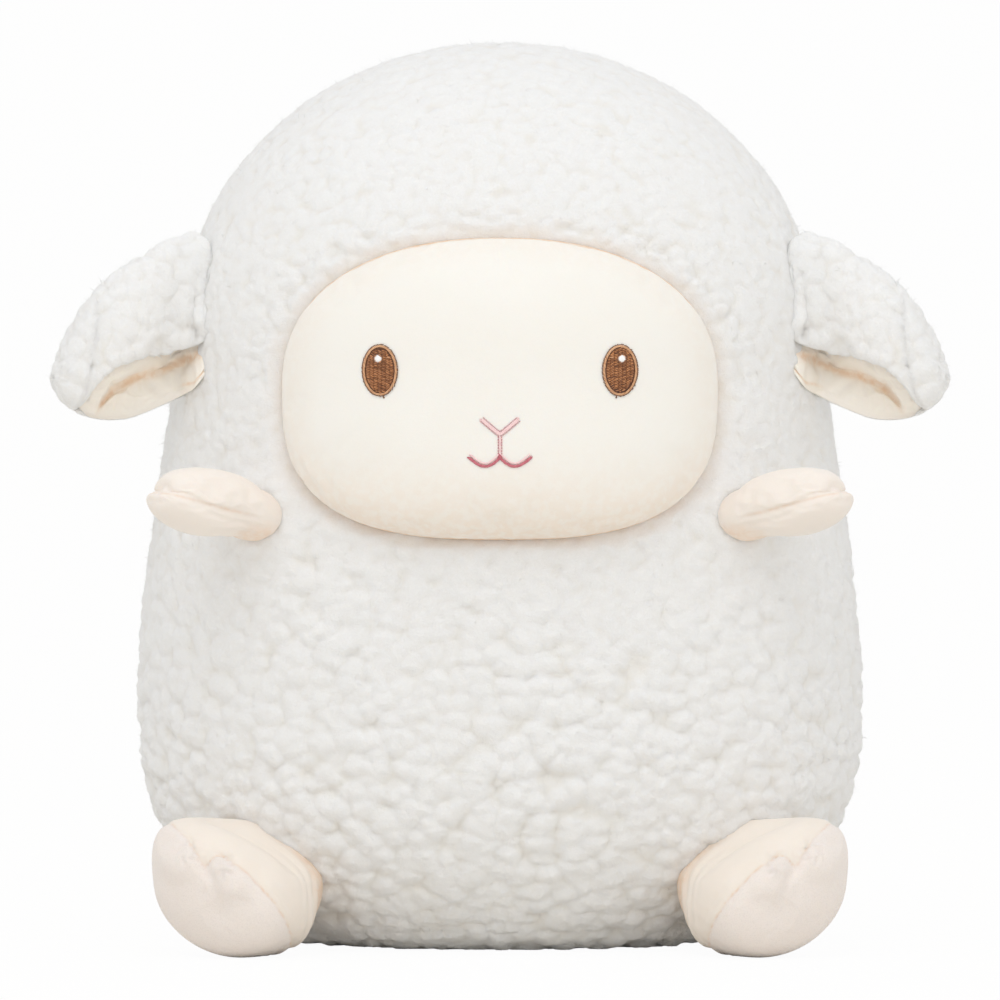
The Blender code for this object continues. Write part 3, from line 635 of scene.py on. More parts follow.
def strand_tree():
    """Grows short curved fibres on a fleece. Its tufts attribute says how closely they stand."""
    values = {"Density": "Float", "Length": "Float", "Seed": "Int", "Fibre": "Material"}
    wires, ins = new_tree("fibres", "Fleece", "Fibres", **values)
    along = wires.add("GeometryNodeSplineParameter")
    bent = wires.add("ShaderNodeCombineXYZ", {"X": wires.times(wires.math("POWER", along, 2.0), 0.75)})
    strand = wires.add("GeometryNodeCurvePrimitiveLine", {"Start": (0, 0, -0.3), "End": (0, 0, 0.7)})
    strand = wires.add("GeometryNodeResampleCurve", {"Curve": strand, "Count": 3})
    strand = wires.add("GeometryNodeSetPosition", {"Geometry": strand, "Offset": bent})
    thin = wires.minus(1.0, wires.times(along, 0.9))
    density = wires.times(ins["Density"], wires.held("tufts"))
    scatter = {"Mesh": ins["Fleece"], "Density": density, "Seed": ins["Seed"]}
    roots = wires.add("GeometryNodeDistributePointsOnFaces", scatter)
    upright = roots.node.outputs["Rotation"]
    lean = {0: (-1.1, -1.1, 0.0), 1: (1.1, 1.1, 2 * pi), "Seed": ins["Seed"]}
    lean = wires.add("FunctionNodeRandomValue", lean, data_type="FLOAT_VECTOR")
    lean = wires.add("FunctionNodeEulerToRotation", {0: lean})
    turn = wires.add("FunctionNodeRotateRotation", {0: upright, 1: lean}, rotation_space="LOCAL")
    growth = wires.add("FunctionNodeRandomValue", {2: 0.55, 3: 1.25, "Seed": 7}, out=1, data_type="FLOAT")
    growth = wires.times(growth, ins["Length"])
    wispy = wires.add("FunctionNodeRandomValue", {6: WISPS, "Seed": 3}, out=3, data_type="BOOLEAN")
    single = wires.add("FunctionNodeBooleanMath", {0: wispy}, operation="NOT")
    join = wires.tree.nodes.new("GeometryNodeJoinGeometry")
    for radius, chosen in ((0.016, single), (0.085, wispy)):
        ring = wires.add("GeometryNodeCurvePrimitiveCircle", {"Resolution": 3, "Radius": radius})
        shape = wires.add("GeometryNodeCurveToMesh", {"Curve": strand, "Profile Curve": ring, "Scale": thin})
        stand = {"Points": roots, "Instance": shape, "Rotation": turn, "Scale": growth, "Selection": chosen}
        wires.feed(join.inputs[0], wires.add("GeometryNodeInstanceOnPoints", stand))
    return end_tree(wires, join.outputs[0], ins["Fibre"])


def run_tree(piece, tree, **values):
    """Runs a node tree on a piece and makes the result its plain mesh."""
    step = piece.modifiers.new("tree", "NODES")
    step.node_group = tree
    for name, value in values.items():
        step[socket_id(tree, name.replace("_", " "))] = value
    return finish_modifiers(piece)


def grow_fleece(piece, flattening=CURL_FLATTENING, height=CURL_HEIGHT):
    """Turns a cloth into its curly fleece."""
    values = {"Levels": FLEECE_LEVELS, "Curl_width": CURL_WIDTH, "Curl_height": height}
    return run_tree(piece, CURLS, **values, Flattening=flattening)


def grow_fibres(fleece, body, seed, density=FIBRES):
    """A piece of loose fibres that stand on a finished fleece."""
    fibres = piece_of(f"{fleece.name}_fibres", fleece.data.copy())
    run_tree(fibres, STRANDS, Density=density, Length=FIBRE_LENGTH, Seed=seed, Fibre=FIBRE_LOOK)
    follow(fibres, body)
    return fibres


def collar_share(x, y, z, joint):
    """How much the fleece rises round a limb's root."""
    px, py, pz = JOINTS[joint]["pos_m"]
    away = np.sqrt((x - px) ** 2 + (y - py) ** 2 + (z - pz) ** 2)
    return hump(away, COLLAR_RADIUS, COLLAR_WIDTH)


def body_fleece():
    """The body's four fleece panels, puffed up between their seams and opened for the face."""
    grid = body_grid(FORM_ROWS, FORM_COLUMNS)
    whole = new_piece("body_form", grid.reshape(-1, 3), grid_faces(len(grid), FORM_COLUMNS, True))
    outwards(whole.data)
    voxels(whole, VOXEL)
    x, y, z = points_of(whole.data).T
    side_seam = np.abs(y) < VOXEL / 2
    back_seam = (np.abs(x) < VOXEL / 2) & (y > 0)
    base = z < BASE_SEAM_HEIGHT
    face = (face_share(x, z) < 1.03) & (y < 0)
    inflate(whole, side_seam | back_seam | base | face, 4.0, 0.0025)
    bm = bmesh.new()
    bm.from_mesh(whole.data)
    cuts = (((0, 0, BASE_SEAM_HEIGHT), (0, 0, 1)), ((0, 0, 0), (0, 1, 0)), ((0, 0, 0), (1, 0, 0)))
    for place, normal in cuts:
        everything = bm.verts[:] + bm.edges[:] + bm.faces[:]
        bmesh.ops.bisect_plane(bm, geom=everything, dist=1e-5, plane_co=place, plane_no=normal)
    bm.to_mesh(whole.data)
    bm.free()
    x, y, z = points_of(whole.data).T
    seam = np.minimum(np.abs(y), np.where(y > 0, np.abs(x), 1.0))
    edge = face_share(x, z)
    rim = np.where(y < 0, smooth(edge, 0.985, 1.075), 1.0)
    size = np.clip((HEAD_LEVEL + 0.03 - z) / (HEAD_LEVEL + 0.03 - BELLY_LEVEL), 0, 1)
    brow = hump(edge, 1.10, 0.07) * (z > FACE_LEVEL) * (y < 0)
    height = HEAD_CURL_SHARE + (1 - HEAD_CURL_SHARE) * np.maximum(size, 0.8 * brow)
    collar = sum(collar_share(x, y, z, joint) for joint in ("arm_left_lift", "arm_right_lift"))
    level = PILE * (1 - 0.12 * (1 - smooth(seam, 0, SEAM_HALF_WIDTH))) + COLLAR_RISE * collar
    level += 0.0016 * hump(z, 0.009, 0.006)
    attribute(whole.data, "pile", height * rim * smooth(z, 0.0, 0.004))
    attribute(whole.data, "level", level * rim * smooth(z, -0.001, 0.004))
    attribute(whole.data, "curl_size", size)
    # Painted shade and warm bounce light on the fleece: a band round the face's edge, and darker towards the
    # base
    face_edge_shade = 0.28 * hump(edge, 0.99, 0.035) * (y < 0)
    attribute(whole.data, "painted_warm_shade", face_edge_shade + 0.14 * smooth(-z, -0.10, -0.01))
    attribute(whole.data, "tufts", np.where(z < 0.005, 0.0, np.minimum(rim, 1.0)))
    directions(whole.data, "outward", normals_of(whole.data))
    x, y, z = face_middles(whole.data).T
    above = z > BASE_SEAM_HEIGHT
    parts = {
        "front_fleece": (above & (y < 0) & (face_share(x, z) > 0.93), "front_panel"),
        "back_left_fleece": (above & (y > 0) & (x > 0), "back_panel_left"),
        "back_right_fleece": (above & (y > 0) & (x < 0), "back_panel_right"),
        "base_fleece": (~above, "base_panel"),
    }
    for seed, (name, (keep, node)) in enumerate(parts.items()):
        panel = piece_of(name, whole.data.copy())
        kept_faces(panel, keep)
        grow_fleece(panel)
        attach(panel, "body")
        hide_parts(node, "body_filling")
        grow_fibres(panel, "body", seed)
    drop(whole)


# Cloth


def cloth_look(name, colour, shade, nap=0.00012, grain=0.06):
    """Short velvety pile of one colour, with its nap brushed a little unevenly."""
    finish = {"Roughness": 0.85, "Specular_IOR_Level": 0.2, "Sheen_Weight": 0.25, "Sheen_Roughness": 0.4}
    deep = {"Subsurface_Weight": 0.15, "Subsurface_Radius": (1.0, 0.8, 0.6), "Subsurface_Scale": 0.002}
    material, wires, shader, place = new_look(name, **finish, **deep)
    brushed = wires.noise(place, 38.0, 4.0, 0.6, 0.4)
    tone = wires.mixed(brushed, (*shade, 1), (*colour, 1))
    speckle = wires.spread(wires.noise(place, 1500.0, 3.0, 0.7), 0.3, 0.55, grain, 0.0)
    tone = wires.mixed(speckle, tone, (*(0.75 * part for part in shade), 1))
    # Painted warm shade, as strong as a number that each mesh holds: in seams, creases, folds and other
    # shaded places
    uneven = wires.spread(wires.noise(place, 260.0, 2.0), 0.35, 0.6, 0.55, 1.0)
    painted_shade = wires.times(wires.painted("painted_shade"), uneven)
    wires.feed(shader.inputs["Base Color"], wires.mixed(painted_shade, tone, SHADE_TINT))
    fine = wires.noise(place, 2600.0, 2.0, 0.6)
    soft = wires.noise(place, 320.0, 2.0, 0.5, 0.6)
    wires.relief(shader, wires.plus(fine, soft), 0.5, nap)
    return material


def face_grid(rows, columns, sunk):
    """Rows of points over the face's cushion, from a square grid that is drawn out to its outline."""
    u, v = np.meshgrid(np.linspace(-1, 1, columns), np.linspace(-1, 1, rows))
    x, z = u * np.sqrt(1 - v * v / 2), v * np.sqrt(1 - u * u / 2)
    share = np.minimum(1, np.hypot(x, z))
    turn = np.arctan2(z, x)
    share = share * (1.25 - 0.25 * share**2)
    n = np.where(z >= 0, BROW_EXPONENT, CHIN_EXPONENT)
    reach = (np.abs(np.cos(turn)) ** n + np.abs(np.sin(turn)) ** n) ** (-1 / n)
    x = share * reach * np.cos(turn) * FACE_HALF_WIDTH
    z = FACE_LEVEL + share * reach * np.sin(turn) * FACE_HALF_HEIGHT
    bulge = FACE_BULGE + CHIN_BULGE * (FACE_LEVEL - z) / FACE_HALF_HEIGHT - sunk
    y = skin_y(x, z) - bulge * np.sqrt(np.maximum(0, 1 - share**CUSHION_EXPONENT))
    return np.stack([x, y, z], axis=-1), share


def face_cloth():
    """The face, a cushion of soft cloth that is puffed up inside its seam."""
    front, share = face_grid(FACE_ROWS, FACE_COLUMNS, 0.0015)
    back = front.copy()
    back[..., 1] = skin_y(front[..., 0], front[..., 2]) + FACE_BACK
    cloth = two_sided("face_cloth", front, back)
    outwards(cloth.data)
    shares = np.concatenate([share.ravel(), np.ones(share.size) * 2])
    inflate(cloth, shares > 0.995, 12.0, 0.003, growth=0.02)
    middles = face_middles(cloth.data)
    kept_faces(cloth, middles[:, 1] < skin_y(middles[:, 0], middles[:, 2]) + 0.75 * FACE_BACK)
    subdivide(cloth, 1)
    x, y, z = points_of(cloth.data).T
    # Painted shade on the face: a thin warm line in its seam, darker and warmer towards the chin, and a
    # little towards its edge
    low = smooth(FACE_LEVEL - z, 0.25 * FACE_HALF_HEIGHT, FACE_HALF_HEIGHT)
    edge = face_share(x, z)
    seam = smooth(edge, 0.986, 0.998) * smooth(y - skin_y(x, z), -0.0034, -0.0010)
    attribute(cloth.data, "painted_shade", 0.8 * seam + 0.21 * low + 0.08 * smooth(edge, 0.8, 0.985))
    cloth.data.materials.append(cloth_look("face_velour", (0.920, 0.903, 0.858), (0.898, 0.872, 0.812)))
    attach(cloth, "body")
    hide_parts("face_panel")
    return cloth


# Arms and feet


def resting_frame(joint, direction):
    """The pivot of a left limb and its three directions: along it, across it and up."""
    place = Vector(JOINTS[joint]["pos_m"])
    forwards = Vector(direction).normalized()
    across = forwards.cross(Vector((0, 0, 1))).normalized()
    return place, forwards, across, across.cross(forwards)


def limb_cage(name, frame, stations, ball, tip):
    """A coarse closed form of a limb, from the back of its root ball to its tip."""
    place, forwards, across, up = (np.array(part) for part in frame)
    turn = np.linspace(0, 2 * pi, LIMB_SEGMENTS, endpoint=False)[:, None]
    deep, broad, tall = ball
    rings = [(-deep * cos(t), broad * sin(t), tall * sin(t), 0.0) for t in np.linspace(0, pi / 2, 6)]
    rows = []
    for along, wide, high, level in rings + stations + [tip]:
        middle = place + forwards * along + up * level
        rows.append(middle + np.cos(turn) * wide * across + np.sin(turn) * high * up)
    points = np.concatenate(rows)
    cage = new_piece(name, points, grid_faces(len(rows), LIMB_SEGMENTS, True))
    outwards(cage.data)
    subdivide(cage, 2)
    return cage


def local(points, frame):
    """How far points lie along, across and up from a limb's pivot."""
    place, *ways = (np.array(part) for part in frame)
    return [(points - place) @ way for way in ways]


def split(piece, values, names):
    """Cuts a piece where values, one for each point, pass zero: the part above zero, and the rest."""
    mesh = piece.data
    points = points_of(mesh)
    directions(mesh, "place", points)
    move_points(mesh, np.column_stack([values, points[:, 1:]]))
    bm = bmesh.new()
    bm.from_mesh(mesh)
    everything = bm.verts[:] + bm.edges[:] + bm.faces[:]
    bmesh.ops.bisect_plane(bm, geom=everything, dist=1e-7, plane_co=(0, 0, 0), plane_no=(1, 0, 0))
    bm.to_mesh(mesh)
    bm.free()
    above = face_middles(mesh)[:, 0] > 0
    place = mesh.attributes["place"]
    points = np.empty(len(mesh.vertices) * 3, np.float32)
    place.data.foreach_get("vector", points)
    move_points(mesh, points)
    mesh.attributes.remove(place)
    parts = []
    for name, keep in zip(names, (above, ~above)):
        parts.append(kept_faces(piece_of(name, piece.data.copy()), keep))
    drop(piece)
    return parts


def mirrored(piece):
    """The same piece on the sheep's other side."""
    twin = piece_of(piece.name.replace("left", "right"), piece.data.copy())
    move_points(twin.data, points_of(twin.data) * (-1, 1, 1))
    twin.data.flip_normals()
    return twin


def follow(piece, body):
    """Makes a piece move with its body. A piece of a body that swings at its root, as an ear does, only has
    its place baked into its mesh, and is not attached.
    """
    swing = JOINTS.get(f"{body}_swing")
    if swing is None:
        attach(piece, body)
        return
    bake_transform(piece)


def both(left):
    return {"left": left, "right": mirrored(left)}


def dress(pair, limb, nodes):
    for side, piece in pair.items():
        follow(piece, f"{limb}_{side}")
        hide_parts(*(f"{limb}_{side}_{node}" for node in nodes))


def arm_seam(along):
    """How far above a left arm's middle line its seam runs."""
    return ARM_SEAM_DIP + ARM_SEAM_RISE * np.clip(along / ARM_LENGTH, 0, 1) ** 1.7


def arms(look):
    """Each arm: an upper and a lower cloth, puffed up on both sides of the seam between them."""
    frame = resting_frame("arm_left_lift", ARM_DIRECTION)
    stations = []
    for share, wide, high in ARM_SHARES:
        level = ARM_LIFT + ARM_TIP_LIFT * share**4
        stations.append((share * ARM_LENGTH, wide * ARM_HALF_WIDTH, high * ARM_HALF_HEIGHT, level))
    tip = (1.005 * ARM_LENGTH, 0.0, 0.0, ARM_LIFT + ARM_TIP_LIFT)
    arm = limb_cage("arm_form", frame, stations, ARM_BALL, tip)
    points, normals = points_of(arm.data), normals_of(arm.data)
    along, across, up = local(points, frame)
    over = up - arm_seam(along)
    free = smooth(along, 0.0, 0.02)
    groove = 0.0019 * hump(over, 0, 0.0016) * free
    gathers = 0.0004 * np.sin(up / 0.00062 + 90 * across) * hump(along, 0.01, 0.012) * (over < -0.002)
    back = ARM_TIP_STEP * smooth(over, -0.0005, 0.002) * smooth(along, 0.55 * ARM_LENGTH, ARM_LENGTH)
    points += normals * (gathers - groove)[:, None] - np.array(frame[1]) * back[:, None]
    move_points(arm.data, points)
    pins = (along < 0.004) | ((np.abs(over) < 0.0007) & (along > 0))
    inflate(arm, pins, 10.0, 0.0018, growth=0.04)
    subdivide(arm, 1)
    along, across, up = local(points_of(arm.data), frame)
    over = up - arm_seam(along)
    # Painted shade: a warm line in the seam, and darker under the root where the arm meets the body
    painted_shade = hump(over, 0, 0.0007) * smooth(along, 0.004, 0.02) * 0.3
    root = 0.45 * smooth(-along, -0.018, 0.002) * smooth(-up, 0.001, 0.010)
    attribute(arm.data, "painted_shade", np.maximum(painted_shade, root))
    for part in split(arm, over, ("arm_left_upper_cloth", "arm_left_lower_cloth")):
        part.data.materials.append(look)
        node = "upper_panel" if "upper" in part.name else "lower_panel"
        dress(both(part), "arm", (node, "filling"))


def line_distance(x, z, corners):
    """How far (x, z) lies from a line of straight runs, and how far along the line that is, 0 to 1."""
    best, place = np.full(x.shape, 1.0), np.zeros(x.shape)
    runs = list(zip(corners, corners[1:]))
    for i, ((ax, az), (bx, bz)) in enumerate(runs):
        length = (bx - ax) ** 2 + (bz - az) ** 2
        share = np.clip(((x - ax) * (bx - ax) + (z - az) * (bz - az)) / length, 0, 1)
        away = np.hypot(x - ax - share * (bx - ax), z - az - share * (bz - az))
        place = np.where(away < best, (i + share) / len(runs), place)
        best = np.minimum(best, away)
    return best, place


def toe_rise(x, z, toe):
    """How much a toe rises at (x, z), seen from the front."""
    middle_x, middle_z, radius, rise = toe
    return rise * np.exp(-((np.hypot(x - middle_x, z - middle_z) / radius) ** 3))


def toe_folds(x, z, tip):
    """Small folds that run together at a toe's tip."""
    away = np.hypot(x - tip[0], z - tip[1])
    turn = np.arctan2(z - tip[1], x - tip[0])
    return 0.0007 * np.sin(6 * turn + away / 0.0009) * hump(away, 0.0034, 0.0026)


def sole_seam(x, z, place):
    """How far in front of the sole's seam a point of the left foot lies. The seam dips between the toes."""
    ahead = sum(way * share for way, share in zip(place, SOLE_FACING)) - SOLE_SEAM
    dip = 0.0040 * hump(x, CLEFT[1][0], 0.0042) - 0.0018 * hump(x, 0.1195, 0.0042)
    return ahead - dip * smooth(z, 0.02, 0.03) + np.interp(x, *zip(*SEAM_BOW))


def feet(upper_look, sole_look):
    """Each foot: an upper cloth back to the body, and a cloven sole in front with two toes."""
    frame = resting_frame("foot_left_tilt", FOOT_DIRECTION)
    stations = []
    for share, wide, high, lift in FOOT_SHARES:
        level = (high + lift - 1) * FOOT_LEVEL
        stations.append((share * FOOT_LENGTH, wide * FOOT_HALF_WIDTH, high * FOOT_LEVEL, level))
    foot = limb_cage("foot_form", frame, stations, FOOT_BALL, (FOOT_LENGTH, 0.0, 0.0, level))
    points = points_of(foot.data)
    along, across, up = local(points, frame)
    above = points[:, 2] - FOOT_LEAN_LEVEL
    lean = FOOT_LEAN * above + FOOT_TOP_LEAN * np.clip(above / 0.026, 0, 1.1) ** 2
    points[:, 0] += lean * smooth(along, -0.014, 0.008)
    hollow = smooth(-along, -0.018, -0.002) * smooth(across, 0.0, 0.016) * smooth(above, 0.0, 0.018)
    points[:, 2] -= FOOT_HOLLOW * hollow
    move_points(foot.data, points)
    points, normals = points_of(foot.data), normals_of(foot.data)
    x, y, z = points.T
    along, across, up = local(points, frame)
    facing = smooth(along, 0.010, 0.025)
    away, share = line_distance(x, z, CLEFT)
    depth = np.interp(share, np.linspace(0, 1, len(CLEFT)), CLEFT_DEPTHS)
    cleft = depth * hump(away, 0, 0.0026) * facing
    toes = sum(toe_rise(x, z, toe) for toe in TOES) * facing
    seam = sole_seam(x, z, (along, across, up))
    groove = 0.0010 * hump(seam, 0, 0.0014)
    points += normals * (toes - cleft - groove)[:, None]
    points[:, 2] = np.maximum(points[:, 2], FLOOR_CLEARANCE)
    move_points(foot.data, points)
    pins = (along < -0.006) | (np.abs(seam) < 0.0008) | ((away < 0.0014) & (facing > 0.5) & (share < 0.75))
    inflate(foot, pins, 8.0, 0.0018, growth=0.015)
    subdivide(foot, 1)
    points = points_of(foot.data)
    x, y, z = points.T
    along, across, up = local(points, frame)
    gathers = 0.0006 * np.sin(along / 0.0010 + 2 * np.sin(up / 0.006)) * hump(along, 0.003, 0.009)
    folds = sum(toe_folds(x, z, tip) for tip in TOE_TIPS) * smooth(along, 0.010, 0.025)
    points = points + normals_of(foot.data) * (folds + gathers * smooth(across, -0.005, 0.015))[:, None]
    points[:, 2] = np.maximum(points[:, 2], FLOOR_CLEARANCE)
    move_points(foot.data, points)
    seam = sole_seam(x, z, (along, across, up))
    # Painted shade: a dashed warm line in the sole's seam, and darker at the root where the foot meets the
    # body
    stitches = 0.28 + 0.22 * np.sin((x - z) / 0.00042)
    painted_shade = np.maximum(stitches * hump(seam, 0, 0.0006), 0.55 * smooth(-along, -0.002, 0.010))
    attribute(foot.data, "painted_shade", painted_shade)
    for part in split(foot, seam, ("foot_left_sole_cloth", "foot_left_upper_cloth")):
        sole = "sole" in part.name
        part.data.materials.append(sole_look if sole else upper_look)
        node, slot = ("sole_panel", "sole_cloth") if sole else ("upper_panel", "limb_cloth")
        dress(both(part), "foot", (node, "filling"))


# Ears


def ear_heights(share):
    """How far the ear reaches above and below its middle line."""
    reach = np.clip(share / EAR_TIP, 0, 1)
    top = EAR_TOP * (1 - reach**5.5) ** 0.47
    top = top * (1 - EAR_PINCH * np.clip(1 - np.maximum(share, 0) / EAR_PINCH_END, 0, None) ** 2)
    bottom = EAR_BOTTOM * (1 - reach**1.6) ** 0.62
    into = smooth(-share, 0.0, -EAR_ROOT)
    return top * (1 - 0.3 * into), bottom * (1 - 0.15 * into)


def ear_depth(share):
    known = np.array(EAR_DEPTHS)
    return EAR_HALF_DEPTH * np.interp(share / EAR_TIP, known[:, 0], known[:, 1])


def ear_thickness(turn):
    """Of the fleece leaf, thin at the back edge."""
    return EAR_EDGE_FLEECE + (EAR_FLEECE - EAR_EDGE_FLEECE) * smooth(turn, EAR_BACK_EDGE, EAR_BACK_EDGE + 0.8)


def turn_at(share, drops):
    """How far round the fold a line lies that runs so far below the ear's middle line."""
    drop = np.interp(share, *zip(*drops))
    return np.arccos(-np.minimum(0.99, drop / np.maximum(ear_heights(share)[1], 1e-6)))


def ear_points(shares, turns, inset, most, forward=0.0):
    """Points of the left ear's fold at shares of its length and turns round it from its top."""
    place = np.array(JOINTS["ear_left_swing"]["pos_m"])
    up = np.array(JOINTS["ear_left_swing"]["axis"])
    out = np.array(EAR_OUTWARDS)
    front = np.cross(out, up)
    front *= -np.sign(front[1]) / np.linalg.norm(front)
    share = np.asarray(shares)[:, None]
    turn = np.atleast_2d(turns)
    depth = ear_depth(share)
    top, bottom = ear_heights(share)
    inset = np.minimum(inset, most * depth)
    wide = np.maximum(0.0004, depth - inset) * np.sin(turn) + forward
    tall = np.maximum(0.0004, np.where(np.cos(turn) > 0, top, bottom) - inset) * np.cos(turn)
    below = smooth(-np.cos(turn), -0.1, 0.8) + 0.6 * smooth(-np.cos(turn), 0.55, 0.9)
    skew = EAR_SKEW * below * smooth(-share, -0.30, 0.0)
    middle = place + (out * EAR_LENGTH - up * EAR_DROOP) * (share - skew)[..., None]
    return middle + wide[..., None] * front + tall[..., None] * up


def laid(points, share, under, weight):
    """Draws the front of an ear's root forwards onto the head, and sinks its end into the head's fleece."""
    x, y, z = (points[..., k] for k in range(3))
    lift = EAR_LIFT[0] + (EAR_LIFT[1] - EAR_LIFT[0]) * smooth(share, EAR_ROOT, -0.03) - under
    front = -EAR_BLEND * np.logaddexp(-y / EAR_BLEND, -(skin_y(x, z) - lift) / EAR_BLEND)
    points[..., 1] = y + weight * (front - y)
    return points


def ears(lining_look):
    """Each ear: a folded fleece leaf with a soft lining that shows where the fold opens down the front."""
    shares = np.concatenate([np.linspace(EAR_ROOT, 0.90, EAR_ROWS), [0.912, 0.922, 0.931, 0.938, EAR_TIP]])
    share = shares[:, None]
    front = turn_at(share, EAR_FRINGE)
    turns = EAR_BACK_EDGE + (front - EAR_BACK_EDGE) * np.linspace(0, 1, EAR_COLUMNS)
    thick = ear_thickness(turns)
    ahead = smooth(turns, 0.0, 0.9)
    swell = EAR_SWELL * hump(share, 0.03, np.where(share > 0.03, 0.11, 0.20)) * ahead
    outer = laid(ear_points(shares, turns, EAR_PILE, 0.2, swell), share, 0.0, ahead)
    inner = ear_points(shares, turns[:, ::-1], thick[:, ::-1], 0.34, swell[:, ::-1])
    inner = laid(inner, share, 0.0013, ahead[:, ::-1])
    grid = np.concatenate([outer, inner], axis=1)
    rows, columns = grid.shape[:2]
    faces = grid_faces(rows, columns, True)
    faces += [tuple(range(columns)), tuple((rows - 1) * columns + i for i in reversed(range(columns)))]
    leaf = new_piece("ear_left_fleece", grid.reshape(-1, 3), faces)
    round_fold = np.concatenate([turns, turns[:, ::-1]], axis=1)
    outside = np.concatenate([np.ones(turns.shape), np.zeros(turns.shape)], axis=1)
    edge = smooth(round_fold, front - 0.25, front)
    from_back = smooth(round_fold, EAR_BACK_EDGE, EAR_BACK_EDGE + 0.5)
    closed = smooth(share, 0.74, 0.82)
    wrapped = smooth(share, 0.56, 0.68) * smooth(-round_fold, radians(100), radians(130))
    inner_pile = np.maximum(0.1 + 0.7 * edge, 0.5 * wrapped) * (1 - closed)
    pile = np.where(outside > 0, 0.42 + 0.15 * from_back, inner_pile)
    tufts = np.where(outside > 0, 1.0 + 6.0 * edge, 22.0 * edge + wrapped)
    tufts = tufts * (1 - closed * edge) * (share > -0.06)
    level = np.where(outside > 0, 0.4 + 0.6 * from_back, np.maximum(0.3 * edge, 0.4 * wrapped * (1 - closed)))
    attribute(leaf.data, "pile", pile.ravel())
    attribute(leaf.data, "level", (EAR_PILE * level).ravel())
    attribute(leaf.data, "tufts", tufts.ravel())
    attribute(leaf.data, "curl_size", np.full(rows * columns, 0.1))
    outwards(leaf.data)
    directions(leaf.data, "outward", normals_of(leaf.data))
    grow_fleece(leaf, flattening=1.0)
    leaves = both(leaf)
    for side, piece in leaves.items():
        grow_fibres(piece, f"ear_{side}", 11, 1.3 * FIBRES)
    dress(leaves, "ear", ("outer",))
    dress(both(ear_lining(lining_look)), "ear", ("lining",))


def ear_lining(look):
    """The left ear's lining: over the back leaf, into a deep fold, and out again to the front edge. Its
    colour holds painted shade in that fold, under the fringe and at its root.
    """
    shares = np.linspace(EAR_ROOT + 0.01, LINING_END, LINING_ROWS)
    share = shares[:, None]
    start = EAR_BACK_EDGE + 0.02 + LINING_CORNER * smooth(share, 0.60, 0.75)
    turn = start + (LINING_TOP - start) * np.linspace(0, 1, LINING_COLUMNS)
    bed = ear_thickness(turn)
    crease_turn = -turn_at(share, LINING_CREASE)
    fading = smooth(-share, -0.57, -0.49)
    deep = hump(turn, crease_turn, radians(7)) * fading
    beyond = smooth(turn, crease_turn + radians(3), crease_turn + radians(20))
    beyond = beyond * smooth(share, 0.04, 0.24) * smooth(-share, -LINING_END, -0.66)
    room = np.maximum(0, 2 * ear_depth(share) * np.abs(np.sin(turn)) - bed - EAR_FLEECE - 0.001)
    sides = smooth(turn, start, start + 0.33) * smooth(-turn, -LINING_TOP, -LINING_TOP + 0.3)
    ends = smooth(share, EAR_ROOT, 0.0) * smooth(-share, -LINING_END, -LINING_END + 0.15)
    root_fold = hump(turn, -radians(156), radians(2.5)) * smooth(-share, -0.10, 0.0)
    raised = bed + 0.0008 + LINING_PUFF * sides * ends * (1 - deep) - 0.0012 * root_fold
    front = ear_points(shares, turn, raised, 0.5, 0.72 * room * beyond)
    front = laid(front, share, 0.0016 + 0.001 * root_fold, 1.0)
    back = ear_points(shares, turn, bed + 0.0002, 0.36)
    lining = two_sided("ear_left_lining_cloth", front, back)
    # Painted shade: warm and dark deep in the fold, under the fleece's fringe and in the fold at the root
    under_fringe = hump(turn, -turn_at(share, EAR_FRINGE), radians(6)) * smooth(-share, -0.26, -0.08)
    lining_shade = [0.65 * deep**1.8, 0.2 * under_fringe, 0.5 * root_fold, 0.35 * (1 - beyond) * fading * deep]
    lining_shade = np.maximum.reduce(lining_shade).ravel()
    held = ((1 - sides * ends) > 0.6) | (deep > 0.8)
    attribute(lining.data, "painted_shade", np.concatenate([lining_shade, np.zeros(lining_shade.size)]))
    outwards(lining.data)
    inflate(lining, np.concatenate([held.ravel(), np.ones(lining_shade.size, bool)]), 6.0, 0.0015, growth=0.06)
    subdivide(lining, 1)
    lining.data.materials.append(look)
    return lining


# Embroidery


def thread_look(name, colour, shade):
    """Lustrous embroidery thread with a fine twist."""
    material, wires, shader, place = new_look(name, Roughness=0.42, Sheen_Weight=0.2)
    wires.feed(shader.inputs["Base Color"], wires.mixed(wires.painted("tone"), (*shade, 1), (*colour, 1)))
    wires.relief(shader, wires.noise(place, 5200.0, 1.0, 0.5, 0.6), 0.35, 0.00005)
    return material


def thread_tree():
    """Turns loose edges into arched threads, each with a tone of its own."""
    values = {"Radius": "Float", "Arch": "Float", "Seed": "Int", "Thread": "Material"}
    wires, ins = new_tree("threads", "Stitches", "Threads", **values)
    lines = wires.add("GeometryNodeMeshToCurve", {"Mesh": ins["Stitches"]})
    spread = {2: 0.0, 3: 1.0, "Seed": ins["Seed"]}
    tone = wires.add("FunctionNodeRandomValue", spread, out=1, data_type="FLOAT")
    store = {"Geometry": lines, "Name": "tone", "Value": tone}
    lines = wires.add("GeometryNodeStoreNamedAttribute", store, domain="CURVE")
    lines = wires.add("GeometryNodeResampleCurve", {"Curve": lines, "Count": 6})
    along = wires.add("GeometryNodeSplineParameter")
    hump = wires.times(wires.times(along, wires.minus(1.0, along)), 4.0)
    rise = wires.times(wires.times(hump, ins["Arch"]), -1.0)
    offset = wires.add("ShaderNodeCombineXYZ", {"Y": rise})
    lines = wires.add("GeometryNodeSetPosition", {"Geometry": lines, "Offset": offset})
    ring = wires.add("GeometryNodeCurvePrimitiveCircle", {"Resolution": 6, "Radius": ins["Radius"]})
    taper = wires.plus(wires.times(wires.math("POWER", hump, 0.4), 0.6), 0.4)
    sockets = {"Curve": lines, "Profile Curve": ring, "Scale": taper, "Fill Caps": True}
    return end_tree(wires, wires.add("GeometryNodeCurveToMesh", sockets), ins["Thread"])


